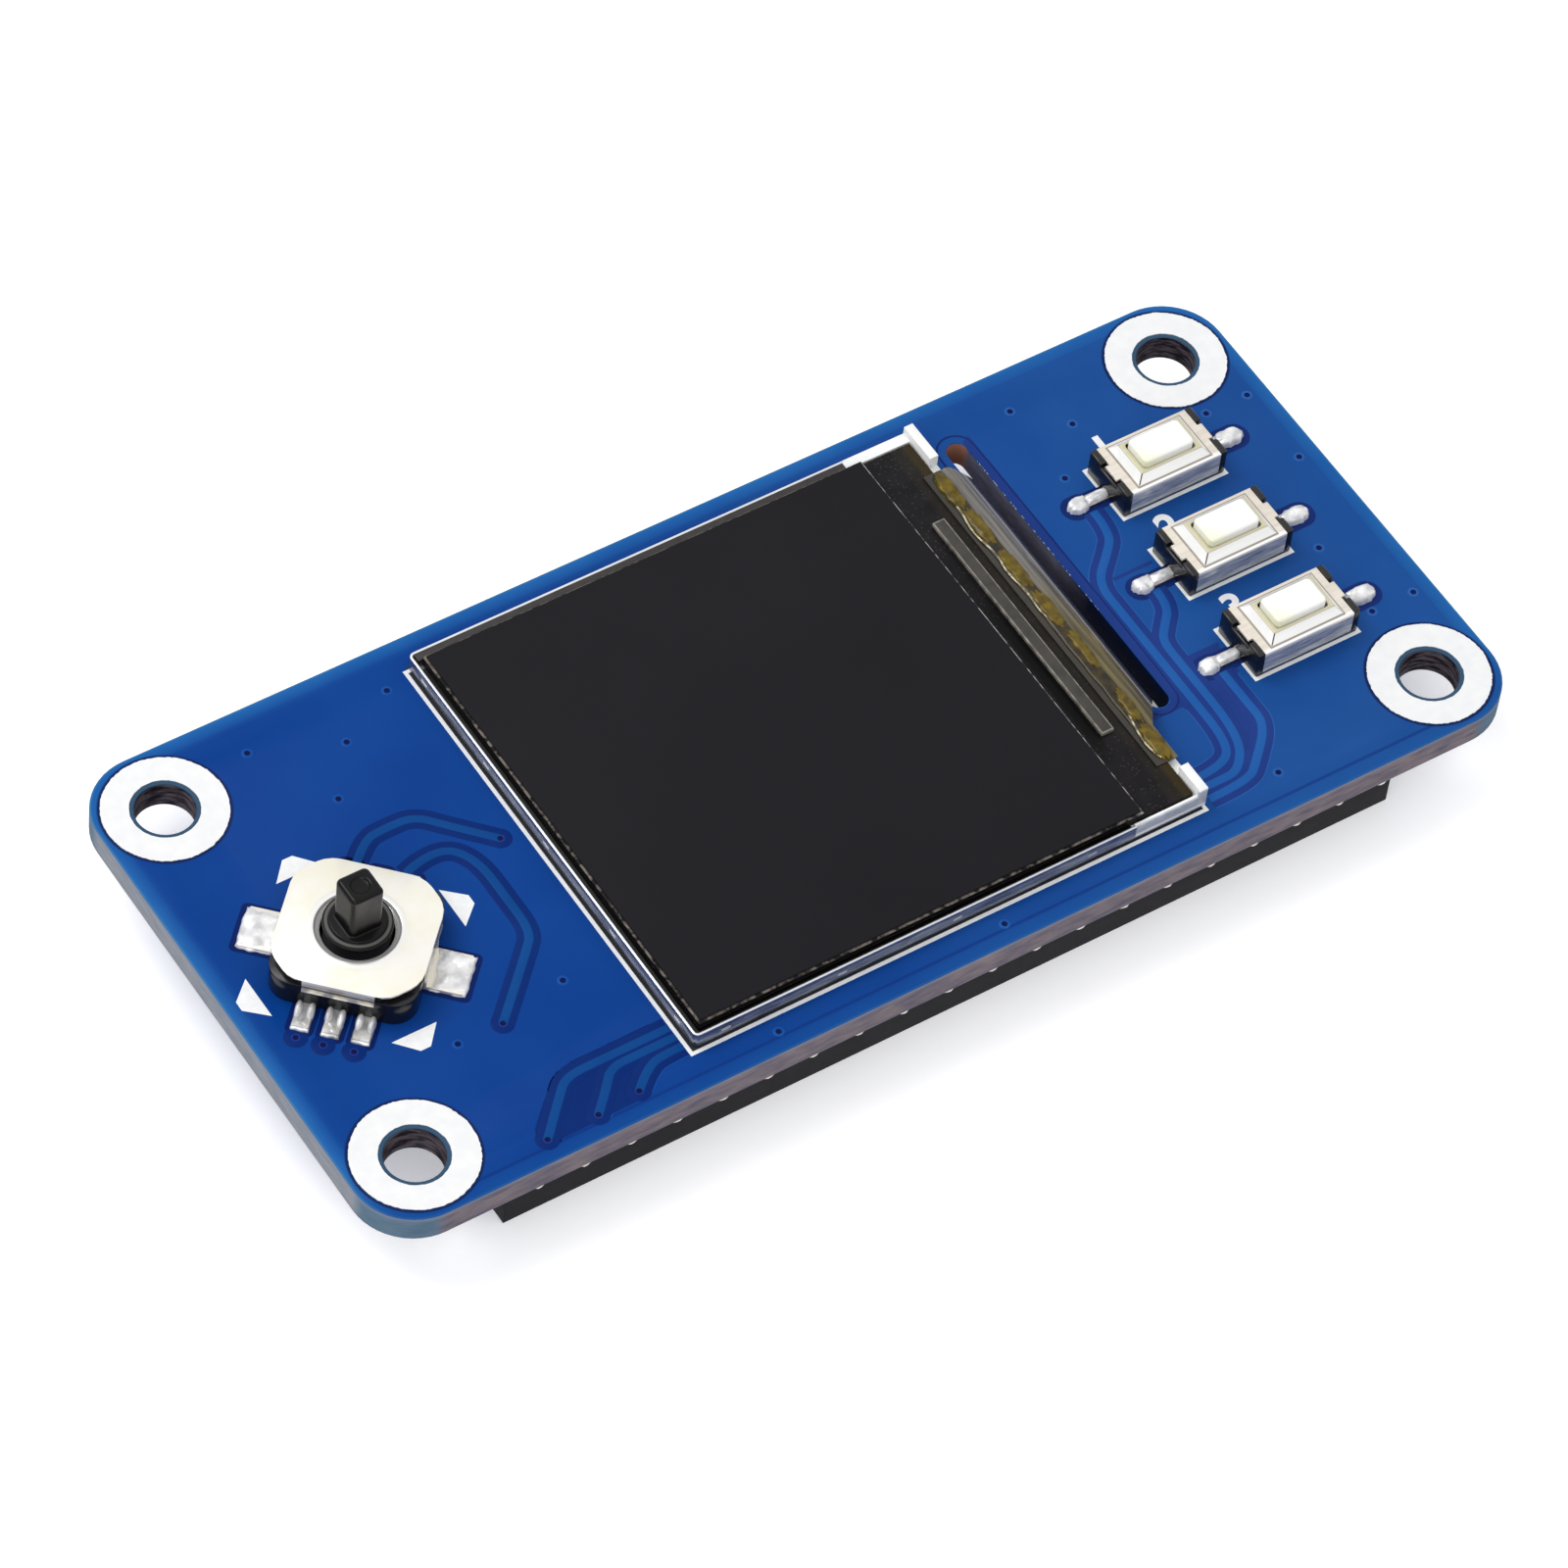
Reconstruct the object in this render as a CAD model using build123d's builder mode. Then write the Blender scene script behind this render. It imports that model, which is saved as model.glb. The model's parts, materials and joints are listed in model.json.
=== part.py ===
import os
from math import cos, radians, sin, sqrt

from build123d import *

os.makedirs("parts", exist_ok=True)

# Frame: origin at the centre of the hole pattern on the board's underside,
# +X towards the keys, +Y away from the socket, +Z out of the display. Millimetres.

# Board
board_length = 65.0
board_width = 30.0
board_thickness = 1.6
board_corner_r = 3.2
hole_inset = 3.5
hole_d = 3.0
ring_inner_d = 3.4
ring_outer_d = 6.2
ring_sides = 20
foil = 0.035
ink = 0.02
ink_line = 0.2
outline_play_x = 0.19
outline_play_y = 0.075
outline_shift_x = -0.14
outline_shift_y = -0.22
slot_width = 1.1
slot_length = 18.9
slot_gap = 1.2
slot_y = 2.7

# Socket strip under the front edge
pin_spacing = 2.54
socket_end_wall = 0.05
socket_width = 5.0
socket_height = 3.4
socket_lift = 0.3
socket_rib = 0.6
pocket = 0.9
pocket_floor = 0.35
mouth = 1.5
mouth_depth = 0.3
contact_width = 0.5
contact_sheet = 0.15
contact_foot_sheet = 0.2
contact_foot_run = 0.75
contact_squeeze = 0.14
pocket_play = 0.05
pad_margin = 0.1
pad_length = 1.6
pad_width = 1.0

# Display module, upwards from the board
module_length = 29.2
module_width = 26.05
module_x = 0.08
module_y = 0.22
tape_thickness = 0.1
tape_inset = 1.2
tray_sheet = 0.12
tray_height = 0.9
tray_corner_r = 0.3
tray_wall_end = 4.1
window_length = 0.5
window_height = 0.26
window_rise = 0.18
guide_thickness = 0.28
film_thickness = 0.12
rear_polariser_thickness = 0.13
glass_thickness = 0.3
front_polariser_thickness = 0.15
glass_inset_x = 0.5
glass_inset_y = 0.525
glass_offset_x = -0.1
glass_offset_y = -0.18
glass_gap = 0.12
ledge_width = 2.9
polariser_inset = 0.12
frame_rim = 0.95
back_rim_height = 0.25
post_height = 0.75
post_width = 0.5
front_post_length = 1.75
back_post_length = 2.35
chip_length = 15.0
chip_width = 0.7
chip_height = 0.25
chip_from_step = 0.95

# Flex tail of the display
flex_sheet = 0.08
flex_bond = 0.65
flex_width = 20.6
flex_reach = 0.95
flex_neck_back = 9.5
flex_neck_front = -6.3
flex_shoulder = 0.9
flex_wall_gap = 0.08
flex_rest_gap = 0.02
flex_bend_out_r = 0.45
flex_bend_in_r = 0.6
flex_fold_r = 0.15
flex_fold_length = 7.88
flex_tail_length = 2.4
flex_tail_width = 11.8
glue_thickness = 0.12
glue_width = 1.0
finger_count = 14
finger_spacing = 0.8
finger_width = 0.42
finger_length = 1.2
finger_height = 0.12

# Side keys
key_shift_x = -0.34
key_row_y = -0.083
key_spacing = 5.77
key_travel = 0.25
key_lift = 0.03
key_base_length = 6.1
key_base_width = 3.3
key_base_height = 1.3
key_floor = 0.4
key_knob_length = 0.36
key_knob_width = 0.95
key_knob_proud = 0.02
key_knob_gap = 0.04
key_well_length = 4.3
key_well_width = 2.5
key_cover_gap = 0.15
key_cover_sheet = 0.15
key_skirt = 1.42
key_tongue_length = 0.25
key_tongue_width = 1.0
key_ridge_length = 4.4
key_ridge_width = 2.9
key_ridge_height = 0.5
key_ridge_slope = 0.42
plunger_length = 3.0
plunger_width = 1.7
plunger_proud = 0.9
plunger_corner = 0.28
plunger_edge = 0.1
plunger_play = 0.08
plunger_flange_play = 0.15
plunger_flange_gap = 0.05
plunger_flange_height = 0.35
plunger_nub_width = 0.8
dome_play = 0.05
dome_sides = 8
dome_slope = 2.0
dome_sheet = 0.06
dome_r = 1.05
dome_rise = 0.22
key_lead_width = 0.7
key_lead_sheet = 0.2
key_lead_run = 1.7
solder_margin = 0.25
solder_reach = 0.55
solder_height = 0.4
key_outline_gap_x = 0.125
key_outline_gap_y = 0.2

# Five-way stick, its body turned 45 degrees on the board
stick_from_holes = 3.57
stick_y = -0.22
stick_turn = 45.0
stick_travel = 0.18
stick_base_size = 7.2
stick_base_corner = 1.2
stick_shoulder_height = 1.78
stick_floor = 0.4
stick_well_r = 2.75
stick_well_sides = 16
stick_cover_overhang = 0.1
stick_cover_corner = 1.7
stick_cover_top = 2.0
stick_cover_sheet = 0.2
stick_skirt = 0.55
stick_window_r = 2.0
stick_collar_height = 0.22
stick_tab_width = 2.4
stick_tab_run = 1.65
stick_lead_count = 3
stick_lead_spacing = 1.47
stick_lead_width = 0.8
stick_lead_run = 1.3
stick_lead_sheet = 0.2
pivot_height = 1.15
trunnion_r = 0.2
running_gap = 0.04
gimbal_well_gap = 0.45
gimbal_driver_gap = 0.18
gimbal_height = 0.56
gimbal_sides = 8
trunnion_seat = 0.35
driver_r = 1.6
driver_height = 0.5
driver_foot_width = 0.4
driver_foot_gap = 0.19
driver_foot_circle = 1.2
neck_width = 1.0
stick_flange_r = 1.7
stick_flange_bottom = 2.36
stick_flange_height = 0.2
stick_step_r = 1.4
stick_step_height = 0.14
stick_dome_r = 1.5
stick_dome_bottom = 1.78
stick_head = 1.75
stick_head_corner = 0.3
stick_head_top = 5.35
stick_head_edge = 0.15
stick_dimple_r = 0.5
stick_dimple_sides = 16
stick_dimple_depth = 0.12
switch_dome_r = 0.55
switch_dome_rise = 0.16
stick_arrow_inner = 5.3
stick_arrow_outer = 6.37
stick_arrow_base = 2.46
stick_arrow_tip = 0.55

# Small parts on the underside
chip_part_length = 1.6
chip_part_width = 0.8
resistor_height = 0.45
capacitor_height = 0.75
end_cap = 0.3
chip_row_gap = 1.75
resistor_row_x = (-3.0, -6.0, -9.0, -12.0)
capacitor_row_x = (-16.0, -19.0)
chip_column_x = 2.0
resistor_column_y = (3.6, 5.8)
capacitor_column_y = 8.0
transistor_x = 1.8
transistor_gap = 2.0
transistor_length = 2.9
transistor_width = 1.3
transistor_height = 1.0
transistor_lift = 0.08
transistor_lead_spacing = 0.95
transistor_lead_width = 0.4
transistor_lead_sheet = 0.13
transistor_span = 2.4

top = board_thickness
hole_spacing_x = board_length - 2 * hole_inset
hole_spacing_y = board_width - 2 * hole_inset
pin_row_y = -hole_spacing_y / 2
pins_per_row = int((hole_spacing_x - ring_outer_d) / pin_spacing)

# Heights of the display stack
tray_z = top + tape_thickness
guide_z = tray_z + tray_sheet
film_z = guide_z + guide_thickness
rear_polariser_z = film_z + film_thickness
glass_z = rear_polariser_z + rear_polariser_thickness
ledge_z = glass_z + glass_thickness
front_polariser_z = ledge_z + glass_thickness

module_left = module_x - module_length / 2
module_right = module_x + module_length / 2
module_front = module_y - module_width / 2
module_back = module_y + module_width / 2
glass_length = module_length - 2 * glass_inset_x
glass_width = module_width - 2 * glass_inset_y
glass_x = module_x + glass_offset_x
glass_y = module_y + glass_offset_y
glass_right = glass_x + glass_length / 2
step_x = glass_right - ledge_width

# The slot lies just outside the module's right end, and the keys midway from it to the board's end
slot_left = module_right + slot_gap
slot_x = slot_left + slot_width / 2
key_x = (slot_left + slot_width + board_length / 2) / 2 + key_shift_x
key_y = [key_row_y + step * key_spacing for step in (1, 0, -1)]
key_cover_length = key_base_length - 2 * (key_knob_length + key_knob_gap)
key_cover_under = key_base_height + key_cover_gap
key_cover_top = key_cover_under + key_cover_sheet
key_lead_reach = key_base_length / 2 + key_lead_run

# The stick's body and what it carries
stick_x = stick_from_holes - hole_spacing_x / 2
stick_cover_size = stick_base_size + 2 * stick_cover_overhang
stick_tab_reach = stick_cover_size / 2 + stick_tab_run
stick_lead_reach = stick_cover_size / 2 + stick_lead_run
gimbal_outer_r = stick_well_r - gimbal_well_gap
gimbal_inner_r = driver_r + gimbal_driver_gap
trunnion_reach = stick_well_r + trunnion_seat

with BuildPart() as circuit_board:
    with BuildSketch(Plane.XY):
        RectangleRounded(board_length, board_width, board_corner_r)
        with GridLocations(hole_spacing_x, hole_spacing_y, 2, 2):
            Circle(hole_d / 2, mode=Mode.SUBTRACT)
        with Locations((slot_x, slot_y)):
            SlotOverall(slot_length, slot_width, rotation=90, mode=Mode.SUBTRACT)
    extrude(amount=board_thickness)
circuit_board.part.label = "circuit_board"
export_step(circuit_board.part, "parts/circuit_board.step")

# Tinned rings round the mounting holes, on both faces
with BuildPart() as hole_rings:
    for face_z, outwards in ((board_thickness, 1), (0, -1)):
        with BuildSketch(Plane.XY.offset(face_z)):
            with GridLocations(hole_spacing_x, hole_spacing_y, 2, 2):
                RegularPolygon(ring_outer_d / 2, ring_sides)
                RegularPolygon(ring_inner_d / 2, ring_sides, mode=Mode.SUBTRACT)
        extrude(amount=outwards * foil)
hole_rings.part.label = "hole_rings"
export_step(hole_rings.part, "parts/hole_rings.step")

# White outlines and direction marks printed on the top face, kept off the rings
module_outline_length = module_length + 2 * outline_play_x
module_outline_width = module_width + 2 * outline_play_y
key_outline_length = key_base_length + 2 * key_outline_gap_x
key_outline_width = key_base_width + 2 * key_outline_gap_y
with BuildPart() as board_print:
    with BuildSketch(Plane.XY.offset(top)):
        with Locations((module_x + outline_shift_x, module_y + outline_shift_y)):
            Rectangle(module_outline_length, module_outline_width)
            Rectangle(module_outline_length - 2 * ink_line, module_outline_width - 2 * ink_line,
                      mode=Mode.SUBTRACT)
        with Locations(*[(key_x, y) for y in key_y]):
            Rectangle(key_outline_length, key_outline_width)
            Rectangle(key_outline_length - 2 * ink_line, key_outline_width - 2 * ink_line,
                      mode=Mode.SUBTRACT)
            Rectangle(2 * key_lead_reach, key_lead_width + 2 * solder_margin, mode=Mode.SUBTRACT)
        with GridLocations(hole_spacing_x, hole_spacing_y, 2, 2):
            Circle(ring_outer_d / 2 + ink_line, mode=Mode.SUBTRACT)
    extrude(amount=ink)
    with BuildSketch(Plane((stick_x, stick_y, top))) as stick_marks:
        with BuildLine():
            Polyline((stick_arrow_inner, -stick_arrow_base / 2), (stick_arrow_outer, -stick_arrow_tip / 2),
                     (stick_arrow_outer, stick_arrow_tip / 2), (stick_arrow_inner, stick_arrow_base / 2),
                     close=True)
        arrow = make_face()
        with PolarLocations(0, 3, start_angle=90, angular_range=180, endpoint=True):
            add(arrow)
    extrude(amount=ink)
board_print.part.label = "board_print"
export_step(board_print.part, "parts/board_print.step")

# Socket strip: a moulding with a pocket for each pin, open below
socket_length = pins_per_row * pin_spacing + 2 * socket_end_wall
with BuildPart() as header_housing:
    with BuildSketch(Plane.XY.offset(-socket_lift)):
        with Locations((0, pin_row_y)):
            Rectangle(socket_length, socket_width)
    extrude(amount=-(socket_height - socket_lift))
    with BuildSketch(Plane.XY.offset(-socket_lift)):
        for end in (-1, 1):
            with Locations((end * (socket_length - socket_rib) / 2, pin_row_y)):
                Rectangle(socket_rib, socket_width)
    extrude(amount=socket_lift)
    with BuildSketch(Plane.XY.offset(-socket_height)):
        with Locations((0, pin_row_y)):
            with GridLocations(pin_spacing, pin_spacing, pins_per_row, 2):
                Rectangle(pocket, pocket)
    extrude(amount=socket_height - socket_lift, mode=Mode.SUBTRACT)
    with BuildSketch(Plane.XY.offset(-socket_height)):
        with Locations((0, pin_row_y)):
            with GridLocations(pin_spacing, pin_spacing, pins_per_row, 2):
                Rectangle(mouth, mouth)
    extrude(amount=mouth_depth, taper=45, mode=Mode.SUBTRACT)
header_housing.part.label = "header_housing"
export_step(header_housing.part, "parts/header_housing.step")

# Forked spring contact, its tines leaning together, with a foot soldered under the board
fork_out = pocket / 2 - pocket_play
fork_in = fork_out - contact_sheet
contact_foot_reach = (socket_width - pin_spacing) / 2 + contact_foot_run
tip_z = pocket_floor - socket_height
foot_low = -foil - contact_foot_sheet
with BuildPart() as contact:
    with BuildSketch(Plane.YZ):
        with BuildLine():
            Polyline((contact_foot_reach, -foil), (-fork_out, -foil), (-fork_out + contact_squeeze, tip_z),
                     (-fork_in + contact_squeeze, tip_z), (-fork_in, foot_low), (fork_in, foot_low),
                     (fork_in - contact_squeeze, tip_z), (fork_out - contact_squeeze, tip_z),
                     (fork_out, foot_low), (contact_foot_reach, foot_low), close=True)
        make_face()
    extrude(amount=contact_width / 2, both=True)

with BuildPart() as header_contacts:
    for side, turned in ((1, 0), (-1, 180)):
        with Locations((0, pin_row_y + side * pin_spacing / 2, 0)):
            with GridLocations(pin_spacing, pin_spacing, pins_per_row, 1):
                add(contact.part, rotation=(0, 0, turned))
header_contacts.part.label = "header_contacts"
export_step(header_contacts.part, "parts/header_contacts.step")

# Solder pads that the contacts' feet lie on
with BuildPart() as header_pads:
    with BuildSketch(Plane.XY):
        for side in (-1, 1):
            foot_end_y = pin_row_y + side * (pin_spacing / 2 + contact_foot_reach + pad_margin)
            with Locations((0, foot_end_y - side * pad_length / 2)):
                with GridLocations(pin_spacing, pad_length, pins_per_row, 1):
                    Rectangle(pad_width, pad_length)
    extrude(amount=-foil)
header_pads.part.label = "header_pads"
export_step(header_pads.part, "parts/header_pads.step")

with BuildPart() as mounting_tape:
    with BuildSketch(Plane.XY.offset(top)):
        with Locations((module_x, module_y)):
            Rectangle(module_length - 2 * tape_inset, module_width - 2 * tape_inset)
    extrude(amount=tape_thickness)
mounting_tape.part.label = "mounting_tape"
export_step(mounting_tape.part, "parts/mounting_tape.step")

# Pressed steel tray: a floor and three walls, with windows for the frame's hooks
wall_end_x = module_right - tray_wall_end
hook_xs = [module_left + share * (wall_end_x - module_left) for share in (0.07, 0.33, 0.59, 0.9)]
hook_ys = [module_front + share * module_width for share in (0.06, 0.28, 0.51, 0.72, 0.94)]
hook_z = guide_z + window_rise + window_height / 2
inner_length = module_length - 2 * tray_sheet
inner_width = module_width - 2 * tray_sheet
with BuildPart() as backlight_tray:
    with BuildSketch(Plane.XY.offset(tray_z)):
        with Locations((module_x, module_y)):
            RectangleRounded(module_length, module_width, tray_corner_r)
    extrude(amount=tray_height)
    with BuildSketch(Plane.XY.offset(guide_z)):
        with Locations((module_x, module_y)):
            RectangleRounded(inner_length, inner_width, tray_corner_r - tray_sheet)
    extrude(amount=tray_height, mode=Mode.SUBTRACT)
    with BuildSketch(Plane.XY.offset(guide_z)):
        with Locations((wall_end_x + tray_wall_end, module_y)):
            Rectangle(2 * tray_wall_end, 2 * module_width)
    extrude(amount=tray_height, mode=Mode.SUBTRACT)
    with Locations(*[(x, module_y, hook_z) for x in hook_xs]):
        Box(window_length, 2 * module_width, window_height, mode=Mode.SUBTRACT)
    with Locations(*[(module_left, y, hook_z) for y in hook_ys]):
        Box(4 * tray_sheet, window_length, window_height, mode=Mode.SUBTRACT)
backlight_tray.part.label = "backlight_tray"
export_step(backlight_tray.part, "parts/backlight_tray.step")

# White frame round the light guide, with tall posts at the tail end
opening_length = glass_length - 2 * frame_rim
opening_width = glass_width - 2 * frame_rim
tray_inner_left = module_left + tray_sheet
back_rim_width = module_back - tray_sheet - (glass_y + glass_width / 2 + glass_gap)
with BuildPart() as backlight_frame:
    with BuildSketch(Plane.XY.offset(guide_z)):
        with Locations((module_x, module_y)):
            RectangleRounded(inner_length, inner_width, tray_corner_r - tray_sheet)
        with Locations(((wall_end_x + module_right) / 2, module_y)):
            Rectangle(tray_wall_end, module_width)
        with Locations((glass_x, glass_y)):
            Rectangle(opening_length, opening_width, mode=Mode.SUBTRACT)
    extrude(amount=glass_z - guide_z)
    # the higher rim behind the glass, and along the tray's cut-back ends
    with BuildSketch(Plane.XY.offset(glass_z)):
        with Locations(((tray_inner_left + tray_sheet + wall_end_x) / 2, module_back - tray_sheet)):
            Rectangle(wall_end_x - tray_inner_left - tray_sheet, back_rim_width,
                      align=(Align.CENTER, Align.MAX))
        with Locations((wall_end_x, module_back)):
            Rectangle(tray_wall_end, back_rim_width + tray_sheet, align=(Align.MIN, Align.MAX))
        with Locations((wall_end_x, module_front)):
            Rectangle(tray_wall_end, glass_y - glass_width / 2 - glass_gap - module_front,
                      align=(Align.MIN, Align.MIN))
    extrude(amount=back_rim_height)
    with BuildSketch(Plane.XY.offset(glass_z)):
        with Locations((module_right, module_front)):
            Rectangle(post_width, front_post_length, align=(Align.MAX, Align.MIN))
        with Locations((module_right, module_back)):
            Rectangle(post_width, back_post_length, align=(Align.MAX, Align.MAX))
    extrude(amount=post_height)
    with Locations(*[(x, y, hook_z) for x in hook_xs
                     for y in (module_front + tray_sheet / 2, module_back - tray_sheet / 2)]):
        Box(window_length, tray_sheet, window_height)
    with Locations(*[(module_left + tray_sheet / 2, y, hook_z) for y in hook_ys]):
        Box(tray_sheet, window_length, window_height)
backlight_frame.part.label = "backlight_frame"
export_step(backlight_frame.part, "parts/backlight_frame.step")

# Layers inside the frame and on it, each a plain sheet
sheets = (
    ("light_guide", guide_z, guide_thickness, glass_x, opening_length, opening_width),
    ("optical_films", film_z, film_thickness, glass_x, opening_length, opening_width),
    ("rear_polariser", rear_polariser_z, rear_polariser_thickness, glass_x, opening_length, opening_width),
    ("tft_glass", glass_z, glass_thickness, glass_x, glass_length, glass_width),
    ("colour_filter_glass", ledge_z, glass_thickness, glass_x - ledge_width / 2,
     glass_length - ledge_width, glass_width),
    ("front_polariser", front_polariser_z, front_polariser_thickness, glass_x - ledge_width / 2,
     glass_length - ledge_width - 2 * polariser_inset, glass_width - 2 * polariser_inset))
for sheet_name, sheet_z, sheet_thickness, sheet_x, sheet_length, sheet_width in sheets:
    with BuildPart() as sheet:
        with BuildSketch(Plane.XY.offset(sheet_z)):
            with Locations((sheet_x, glass_y)):
                Rectangle(sheet_length, sheet_width)
        extrude(amount=sheet_thickness)
    sheet.part.label = sheet_name
    export_step(sheet.part, f"parts/{sheet_name}.step")

with BuildPart() as driver_chip:
    with BuildSketch(Plane.XY.offset(ledge_z)):
        with Locations((step_x + chip_from_step, glass_y)):
            Rectangle(chip_width, chip_length, align=(Align.MIN, Align.CENTER))
    extrude(amount=chip_height)
driver_chip.part.label = "driver_chip"
export_step(driver_chip.part, "parts/driver_chip.step")

# Flex tail: bonded to the ledge, bent down through the slot and folded back under the board
flex_tail_x = slot_left - flex_fold_length
flex_top_z = ledge_z + flex_sheet / 2
flex_drop_x = slot_left + flex_wall_gap + flex_sheet / 2
flex_low_z = -flex_rest_gap - flex_sheet / 2
flex_out_x = glass_right + flex_reach
flex_neck_y = (flex_neck_back + flex_neck_front) / 2
with BuildPart() as display_flex:
    with BuildSketch(Plane.XZ):
        with BuildLine():
            FilletPolyline((glass_right - flex_bond, flex_top_z), (flex_out_x, flex_top_z),
                           (flex_drop_x, top + 0.3 * (ledge_z - top)), (flex_drop_x, flex_low_z),
                           (flex_tail_x, flex_low_z), radius=[flex_bend_out_r, flex_bend_in_r, flex_fold_r])
        trace(line_width=flex_sheet)
    extrude(amount=flex_width / 2, both=True)
    # shoulders above the board, where the tail narrows to its neck
    with BuildSketch(Plane.XY.offset(0)):
        with BuildLine():
            Polyline((module_right, flex_width), (module_right, flex_neck_back + flex_shoulder),
                     (flex_drop_x - flex_sheet, flex_neck_back), (slot_x + slot_width, flex_neck_back),
                     (slot_x + slot_width, flex_width), close=True)
        make_face()
        with BuildLine():
            Polyline((module_right, -flex_width), (module_right, flex_neck_front - 2 * flex_shoulder),
                     (flex_drop_x - flex_sheet, flex_neck_front), (slot_x + slot_width, flex_neck_front),
                     (slot_x + slot_width, -flex_width), close=True)
        make_face()
    extrude(amount=2 * ledge_z, mode=Mode.SUBTRACT)
    # the folded part is as wide as the neck, then narrows to the soldered end
    with BuildSketch(Plane.XY):
        Rectangle(board_length, 2 * flex_width)
        with Locations((flex_tail_x + flex_tail_length, flex_neck_y)):
            Rectangle(board_length, flex_neck_back - flex_neck_front, align=(Align.MIN, Align.CENTER),
                      mode=Mode.SUBTRACT)
        with Locations((0, flex_neck_y)):
            Rectangle(board_length, flex_tail_width, mode=Mode.SUBTRACT)
    extrude(amount=-top, mode=Mode.SUBTRACT)
display_flex.part.label = "display_flex"
export_step(display_flex.part, "parts/display_flex.step")

# Glue bead over the bonded edge of the tail
with BuildPart() as flex_glue:
    with BuildSketch(Plane.XY.offset(ledge_z + flex_sheet)):
        with Locations((glass_right - flex_bond, 0)):
            Rectangle(glue_width, flex_width, align=(Align.MIN, Align.CENTER))
    extrude(amount=glue_thickness)
    chamfer(flex_glue.faces().sort_by(Axis.Z)[-1].edges(), 0.8 * glue_thickness)
flex_glue.part.label = "flex_glue"
export_step(flex_glue.part, "parts/flex_glue.step")

# Soldered fingers at the folded end of the tail
with BuildPart() as flex_solder:
    with BuildSketch(Plane.XY.offset(flex_low_z - flex_sheet / 2)):
        with Locations((flex_tail_x + finger_length / 2, flex_neck_y)):
            with GridLocations(finger_length, finger_spacing, 1, finger_count):
                Rectangle(finger_length, finger_width)
    extrude(amount=-finger_height)
flex_solder.part.label = "flex_solder"
export_step(flex_solder.part, "parts/flex_solder.step")


def pressed_dome(radius, rise):
    # click dome with a flat crown and sloped sides, hollow below
    side_sheet = dome_sheet * sqrt(1 + dome_slope ** 2)
    with BuildPart() as dome:
        for rim_r, height, mode in ((radius, rise, Mode.ADD),
                                    (radius - side_sheet, rise - dome_sheet, Mode.SUBTRACT)):
            with BuildSketch(Plane.XY):
                RegularPolygon(rim_r, dome_sides)
            with BuildSketch(Plane.XY.offset(height)):
                RegularPolygon(rim_r - dome_slope * height, dome_sides)
            loft(mode=mode)
    return dome.part


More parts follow.
